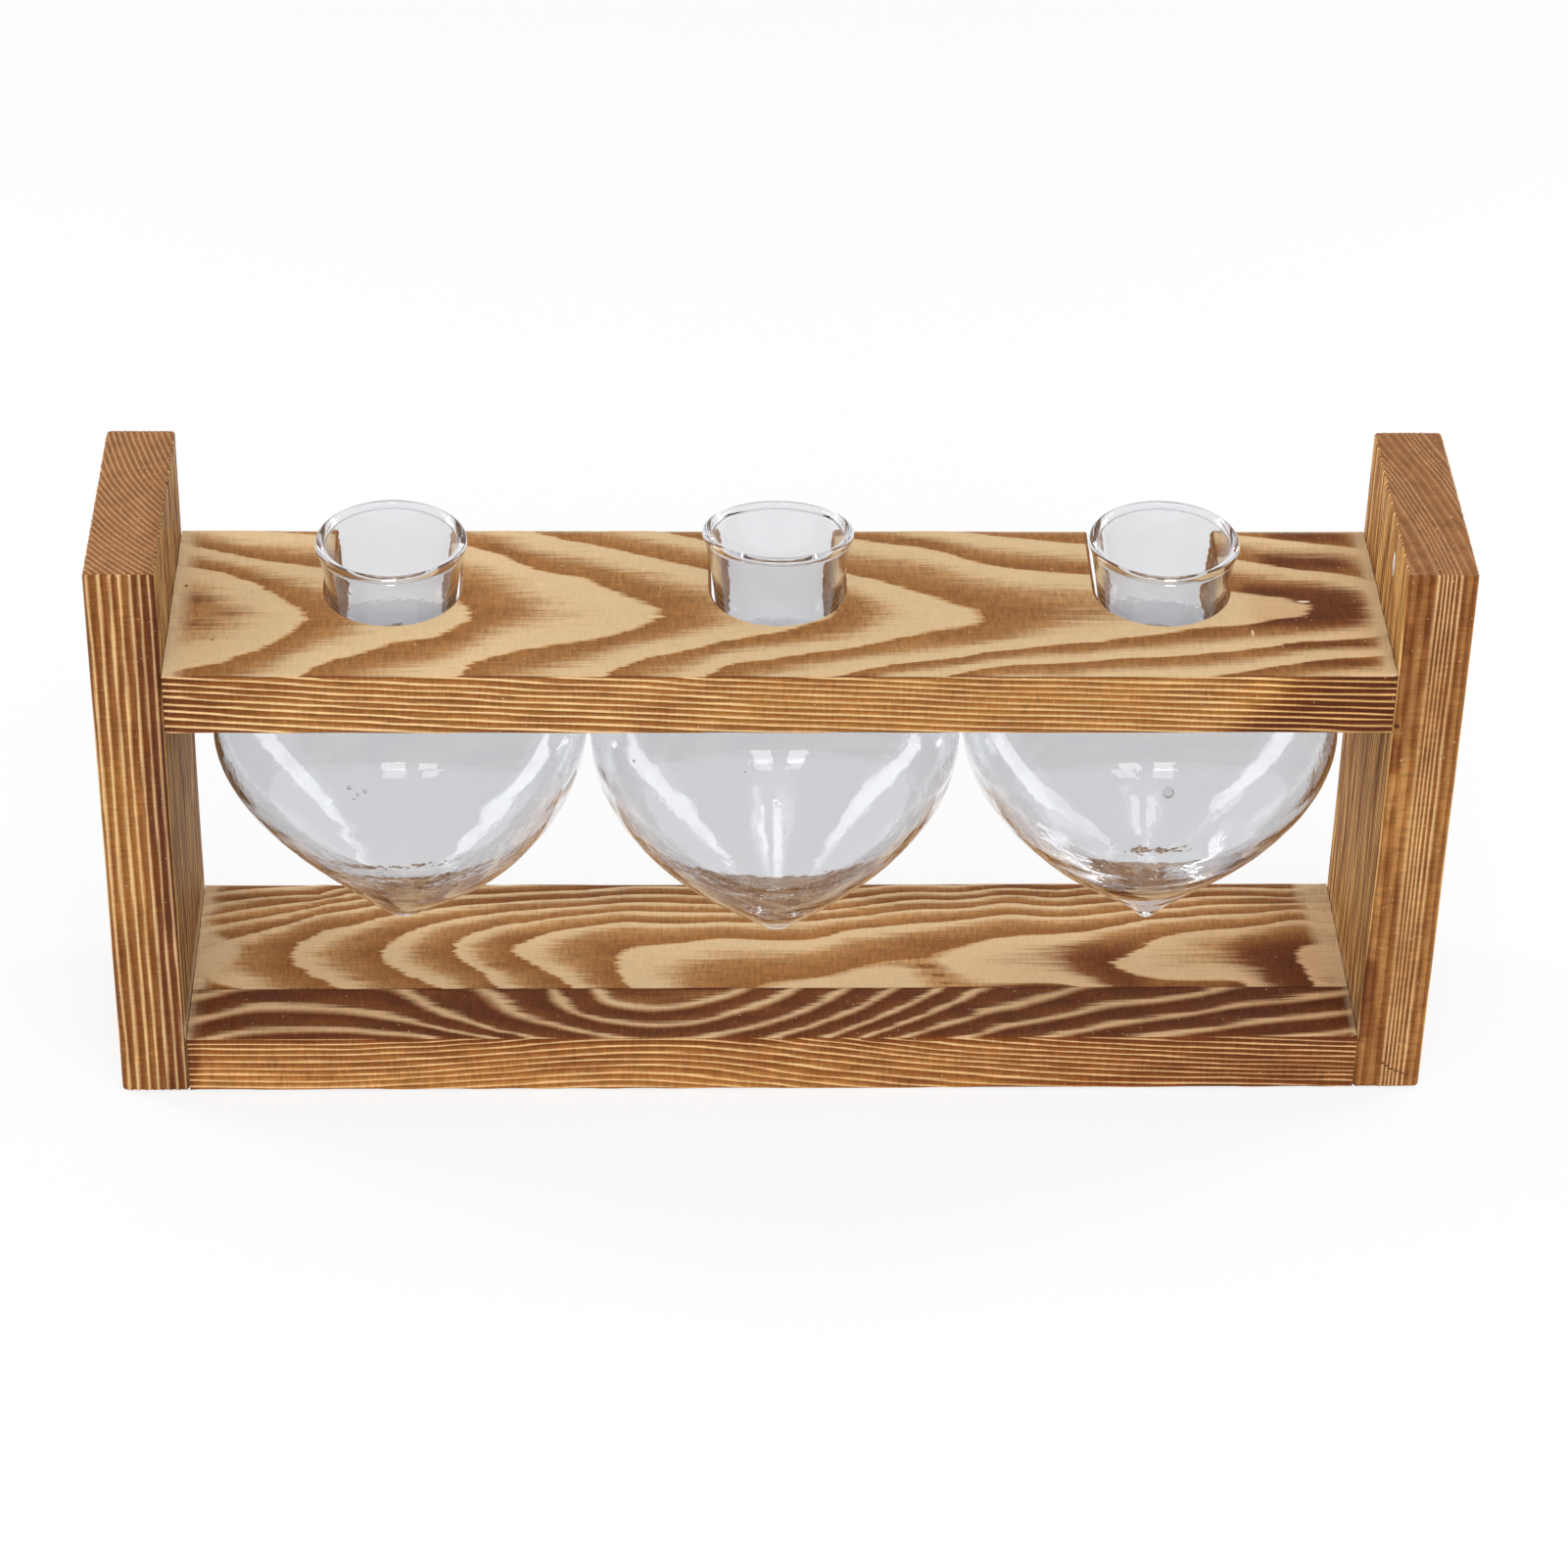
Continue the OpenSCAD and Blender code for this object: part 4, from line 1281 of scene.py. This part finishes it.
def vase_mesh(name, blown, settings):
    """Mesh of a blown vase: the section revolved, its middle wandering with height, its wall waved."""
    r, z, top, floor = glass_section(blown, settings)
    x, y, height, angle = revolved(r, z, settings.segments)
    inside = (np.arange(len(r)) >= top)[:, None]
    round_x, round_y = np.cos(angle), np.sin(angle)
    # The bulb's wall waves, less towards the tip and the neck, and the lip sways a little.
    body = smooth_step(0, 12, r)[:, None] * (1 - smooth_step(SHOULDER_Z - 6, SHOULDER_Z + 1, height))
    neck = 1 - smooth_step(0, 6, np.abs(height - LIP_TOP))
    slow = ripple(blown.seed, (3.0, 3.0, 90), round_x, round_y, height)
    rings = ripple(blown.seed + 1, (4.0, 4.0, 7.0), round_x, round_y, height)
    inner = ripple(blown.seed + 2, (2.4, 2.4, 11.0), round_x, round_y, height)
    wave = settings.wave * METRE
    push = body * wave * (1.1 * slow + 0.12 * rings - 0.9) + 0.12 * neck * slow
    push = push + inside * body * wave * 0.45 * (inner - 0.6)
    radius = r[:, None]
    scale = np.where(radius > 0, (radius + push) / np.maximum(radius, 1e-9), 1)
    x, y = x * scale * (1 + blown.oval * body), y * scale
    # Lumps and the knob on the floor
    lumps = ripple(blown.seed + 3, (7.0, 7.0), x, y) + 0.6 * ripple(blown.seed + 4, (3.2, 3.2), x, y)
    bump = blown.crumple * lumps * smooth_step(0.2, 2.5, radius) + blown.knob * np.exp(-(radius / 3.2) ** 2)
    height = height + floor[:, None] * bump
    x = x + blown.middle_at(height)
    points, faces = add_bubbles(closed_points(grid_of(x, y, height)), grid_faces(len(r), settings.segments),
                                blown, settings)
    if name == "vase_middle":
        points = leaned(points)
    points = points + [VASE_X[name], 0, 0]
    mesh = bpy.data.meshes.new(name)
    mesh.from_pydata((points * MM).tolist(), [], faces)
    mesh.update()
    return mesh


def leaned(points):
    """The middle vase's lean: its mouth to the rear, about a level line half-way up the shelf."""
    turned = points.copy()
    y, z = points[:, 1], points[:, 2] - LEAN_PIVOT
    turned[:, 1] = y * math.cos(LEAN) + z * math.sin(LEAN) + BOARD_T / 2 * math.tan(LEAN)
    turned[:, 2] = LEAN_PIVOT - y * math.sin(LEAN) + z * math.cos(LEAN)
    return turned


def add_bubbles(points, faces, blown, settings):
    """Adds small flattened bubbles inside the wall, with their faces turned into the bubble."""
    rows, segments = 9, 16
    polar = np.radians(np.linspace(-90, 90, rows))
    x, y, height, _ = revolved(np.cos(polar), np.sin(polar), segments)
    ball = closed_points(grid_of(x, y, height))
    side_r, side_z = glass_side(blown)
    out_r, out_z = outward(side_r, side_z)
    for turn, height, size in blown.bubbles:
        angle = -math.pi / 2 + turn
        around = np.array([math.cos(angle), math.sin(angle), 0])
        out = around * np.interp(height, side_z, out_r) + [0, 0, np.interp(height, side_z, out_z)]
        wall = wall_at(height, blown, settings)
        flat = ball * size - np.outer(ball @ out, out) * (size - min(size, 0.25 * wall))
        place = around * np.interp(height, side_z, side_r) + [blown.middle_at(height), 0, height]
        start = len(points)
        points = np.concatenate([points, flat + place - out * (wall / 2 + 0.1)])
        faces = faces + [[start + i for i in reversed(face)] for face in grid_faces(rows, segments)]
    return points, faces


# Stage
# The camera is fitted to the stand's edges in the photo.
LENS = 108.43
SENSOR = 36.0
CAMERA_AT = Vector((-36.6, -975.1, 758.1)) * MM
CAMERA_YAW = math.radians(2.30)
CAMERA_DIP = math.radians(35.27)
CAMERA_ROLL = math.radians(1.27)
FLOOR_SIZE = 6.0
FLOOR_DROP = 0.2 * MM
FLOOR_GLOW = 0.78
WHITE = (1.0, 1.0, 1.0, 1.0)
# Name, place, target, width and height in metres, the setting for its strength, and its share of that.
# The glass mirrors all of them but the front lamp.
LAMPS = (
    ("lamp_left", (-0.946, 0.326, 0.55), (0, 0, 0.55), 0.26, 1.06, "side", 1.0),
    ("lamp_right", (0.927, 0.375, 0.55), (0, 0, 0.55), 0.26, 1.06, "side", 0.85),
    ("lamp_top_left", (-0.135, -0.23, 1.5), (-0.135, -0.23, 0), 0.21, 0.46, "top", 0.52),
    ("lamp_top_right", (0.225, -0.23, 1.5), (0.225, -0.23, 0), 0.19, 0.46, "top", 0.48),
    ("lamp_front", (0.1, -1.3, 1.15), (0, 0, 0.08), 1.5, 0.9, "front", 1.0),
)


def camera_matrix():
    """Turn and place of the camera: to the left of the middle, looking a little right and down."""
    ahead = Vector((math.sin(CAMERA_YAW) * math.cos(CAMERA_DIP), math.cos(CAMERA_YAW) * math.cos(CAMERA_DIP),
                    -math.sin(CAMERA_DIP)))
    level = Vector((math.cos(CAMERA_YAW), -math.sin(CAMERA_YAW), 0))
    above = level.cross(ahead)
    right = level * math.cos(CAMERA_ROLL) + above * math.sin(CAMERA_ROLL)
    up = above * math.cos(CAMERA_ROLL) - level * math.sin(CAMERA_ROLL)
    turn = Matrix((right, up, -ahead)).transposed()
    return Matrix.Translation(CAMERA_AT) @ turn.to_4x4()


def seen_rays(tree):
    """1 for rays that show a surface to the camera: straight, through glass or in a reflection."""
    mirrored = tree.ray("Is Glossy Ray").math("MAXIMUM", tree.ray("Is Transmission Ray"))
    return tree.ray("Is Camera Ray").math("MAXIMUM", mirrored)


def floor_material():
    """White floor that keeps a faint shadow."""
    tree = Tree(bpy.data.materials.new("pale_floor"))
    plain = tree.principled(Base_Color=(0.95, 0.95, 0.95, 1.0), Roughness=1.0, Specular_IOR_Level=0.0)
    white = tree.node("ShaderNodeEmission", None, {"Color": WHITE, "Strength": 1.0}, "Emission")
    shown = seen_rays(tree) * FLOOR_GLOW
    return tree.finish(tree.node("ShaderNodeMixShader", None, {0: shown, 1: plain, 2: white}, "Shader"))


def room_light(strength):
    """World that is white where it is seen, and lights the object evenly."""
    tree = Tree(bpy.data.worlds.new("Room"))
    bpy.context.scene.world = tree.owner
    level = strength + seen_rays(tree) * (1.0 - strength)
    sky = tree.node("ShaderNodeBackground", None, {"Color": WHITE, "Strength": level}, "Background")
    tree.node("ShaderNodeOutputWorld", None, {"Surface": sky})


def lamp(name, place, target, width, height, watts):
    """Rectangular area lamp that faces a target."""
    data = bpy.data.lights.new(name, "AREA")
    data.shape = "RECTANGLE"
    data.size = width
    data.size_y = height
    data.energy = watts
    made = bpy.data.objects.new(name, data)
    bpy.context.scene.collection.objects.link(made)
    made.location = place
    made.rotation_euler = (Vector(target) - Vector(place)).to_track_quat("-Z", "Y").to_euler()
    return made


# Operators
BOARD_STEPS = (2.0, 0.6, 0.45)
SIDE_STEPS = (0.4, 0.7, 1.6)
SCREW_GAP = 0.05
HEAD_DEPTH = 2.6


def report(operator, message):
    """Tells the user what an operator made."""
    operator.report({"INFO"}, message)
    return {"FINISHED"}


class STAND_OT_shelf(bpy.types.Operator):
    """Make the shelf with its three slots"""
    bl_idname = "stand.shelf"
    bl_label = "Shelf"

    def execute(self, context):
        settings = context.scene.stand_boards
        ease = settings.ease * METRE
        skin = shelf_skin(SHELF_LOW, SHELF_HIGH, BOARD_STEPS, ease)
        mesh = skin.mesh("shelf_wood", SHELF_LOW, SHELF_HIGH, (0, ease, ease))
        finish_board(mesh, skin.names, shelf_look, (0, 1, 2), (0, 0, 0), settings, "shelf")
        return report(self, "Shelf made")


def finish_board(mesh, names, look_of, order, offset, settings, node):
    """Grain, relief, shading and place of a board's mesh."""
    pale = write_looks(mesh, names, look_of, order, np.array(offset, float))
    brush(mesh, pale, settings.relief)
    smooth(mesh, 40)
    material = bpy.data.materials.get("torched_wood") or wood_material(settings)
    return show(mesh, "look_" + node, material, "stand", node)


class STAND_OT_base(bpy.types.Operator):
    """Make the two glued parts of the base"""
    bl_idname = "stand.base"
    bl_label = "Base"

    def execute(self, context):
        settings = context.scene.stand_boards
        ease = settings.ease * METRE
        parts = (("base_rear_plank", PLANK_LOW, PLANK_HIGH, plank_top_look, (3, 20, 50), "base_wood"),
                 ("base_front_strip", STRIP_LOW, STRIP_HIGH, strip_top_look, (80, 9, 5), "strip_wood"))
        for node, low, high, top, offset, slot in parts:
            skin = base_skin(low, high, BOARD_STEPS, ease)
            mesh = skin.mesh(node + "_wood", BASE_LOW, BASE_HIGH, (0, ease, ease))
            finish_board(mesh, skin.names, base_look(top), (0, 1, 2), offset, settings, node)
        return report(self, "Base made")


def screw_holes(side):
    """Middle, radii and depth of the countersunk holes in a side board's outer face."""
    holes = []
    for row in ("shelf", "base"):
        for place in ("front", "rear"):
            low, high = millimetres(f"screw_{side}_{row}_{place}")
            middle = (low + high) / 2
            rim = (high[1] - low[1]) / 2
            holes.append((middle[1], middle[2], rim + SCREW_GAP, rim / 2 + SCREW_GAP, HEAD_DEPTH))
    return holes


class STAND_OT_sides(bpy.types.Operator):
    """Make the two side boards with their screw holes"""
    bl_idname = "stand.sides"
    bl_label = "Side Boards"

    def execute(self, context):
        settings = context.scene.stand_boards
        ease = settings.ease * METRE
        for side, low, high, offset in (("left", LEFT_LOW, LEFT_HIGH, LEFT_GRAIN),
                                        ("right", RIGHT_LOW, RIGHT_HIGH, RIGHT_GRAIN)):
            node = "side_" + side
            skin = side_skin(low, high, SIDE_STEPS, (ease, ease, ease), side, screw_holes(side))
            mesh = skin.mesh(node + "_wood", low, high, (ease, ease, ease))
            finish_board(mesh, skin.names, side_look(side, low, high), (2, 1, 0), offset, settings, node)
        return report(self, "Side boards made")


class STAND_OT_screws(bpy.types.Operator):
    """Give the eight screws their plated steel"""
    bl_idname = "stand.screws"
    bl_label = "Screws"

    def execute(self, context):
        steel = steel_material()
        for name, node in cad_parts.items():
            if name.startswith("screw_"):
                node.data.materials.clear()
                node.data.materials.append(steel)
        return report(self, "Screws finished")


class STAND_OT_vases(bpy.types.Operator):
    """Make the three blown glass vases"""
    bl_idname = "stand.vases"
    bl_label = "Glass Vases"

    def execute(self, context):
        settings = context.scene.stand_glass
        material = glass_material(settings)
        for name, blown in VASES.items():
            mesh = vase_mesh(name, blown, settings)
            smooth(mesh)
            show(mesh, "look_" + name, material, name, name)
        return report(self, "Vases made")


class STAND_OT_stage(bpy.types.Operator):
    """Make the floor, the lamps and the camera"""
    bl_idname = "stand.stage"
    bl_label = "Stage"

    def execute(self, context):
        settings = context.scene.stand_stage
        scene = context.scene
        half = FLOOR_SIZE / 2
        mesh = bpy.data.meshes.new("floor")
        mesh.from_pydata([(-half, -half, -FLOOR_DROP), (half, -half, -FLOOR_DROP),
                          (half, half, -FLOOR_DROP), (-half, half, -FLOOR_DROP)], [], [(0, 1, 2, 3)])
        mesh.materials.append(floor_material())
        floor = bpy.data.objects.new("floor", mesh)
        scene.collection.objects.link(floor)
        room_light(settings.fill)
        for name, place, target, width, height, setting, share in LAMPS:
            made = lamp(name, place, target, width, height, getattr(settings, setting) * share)
            mirrored = setting != "front"
            made.visible_glossy = mirrored
            made.visible_transmission = mirrored
        camera = bpy.data.cameras.new("Camera")
        camera.lens = LENS
        camera.sensor_width = SENSOR
        camera.clip_start = 0.05
        eye = bpy.data.objects.new("Camera", camera)
        scene.collection.objects.link(eye)
        eye.matrix_world = camera_matrix()
        scene.camera = eye
        scene.view_settings.view_transform = "Standard"
        return report(self, "Stage made")


class STAND_PT_panel(bpy.types.Panel):
    """Steps that dress the stand, in order"""
    bl_idname = "STAND_PT_panel"
    bl_label = "Vase Stand"
    bl_space_type = "VIEW_3D"
    bl_region_type = "UI"
    bl_category = "Vase Stand"

    def draw(self, context):
        layout = self.layout
        for group in (context.scene.stand_boards, context.scene.stand_glass, context.scene.stand_stage):
            box = layout.box()
            for name in group.__annotations__:
                box.prop(group, name)
        for step in STEPS:
            layout.operator(step.bl_idname)


STEPS = (STAND_OT_shelf, STAND_OT_base, STAND_OT_sides, STAND_OT_screws, STAND_OT_vases, STAND_OT_stage)
CLASSES = (BoardSettings, GlassSettings, StageSettings) + STEPS + (STAND_PT_panel,)


def register():
    """Registers the classes and hangs the settings on the scene."""
    for each in CLASSES:
        bpy.utils.register_class(each)
    bpy.types.Scene.stand_boards = PointerProperty(type=BoardSettings)
    bpy.types.Scene.stand_glass = PointerProperty(type=GlassSettings)
    bpy.types.Scene.stand_stage = PointerProperty(type=StageSettings)


def unregister():
    """Takes the settings and the classes away again."""
    del bpy.types.Scene.stand_stage
    del bpy.types.Scene.stand_glass
    del bpy.types.Scene.stand_boards
    for each in reversed(CLASSES):
        bpy.utils.unregister_class(each)


def main():
    """Registers the add-on and runs every step in order."""
    register()
    bpy.ops.stand.shelf()
    bpy.ops.stand.base()
    bpy.ops.stand.sides()
    bpy.ops.stand.screws()
    bpy.ops.stand.vases()
    bpy.ops.stand.stage()


if __name__ == "__main__":
    main()
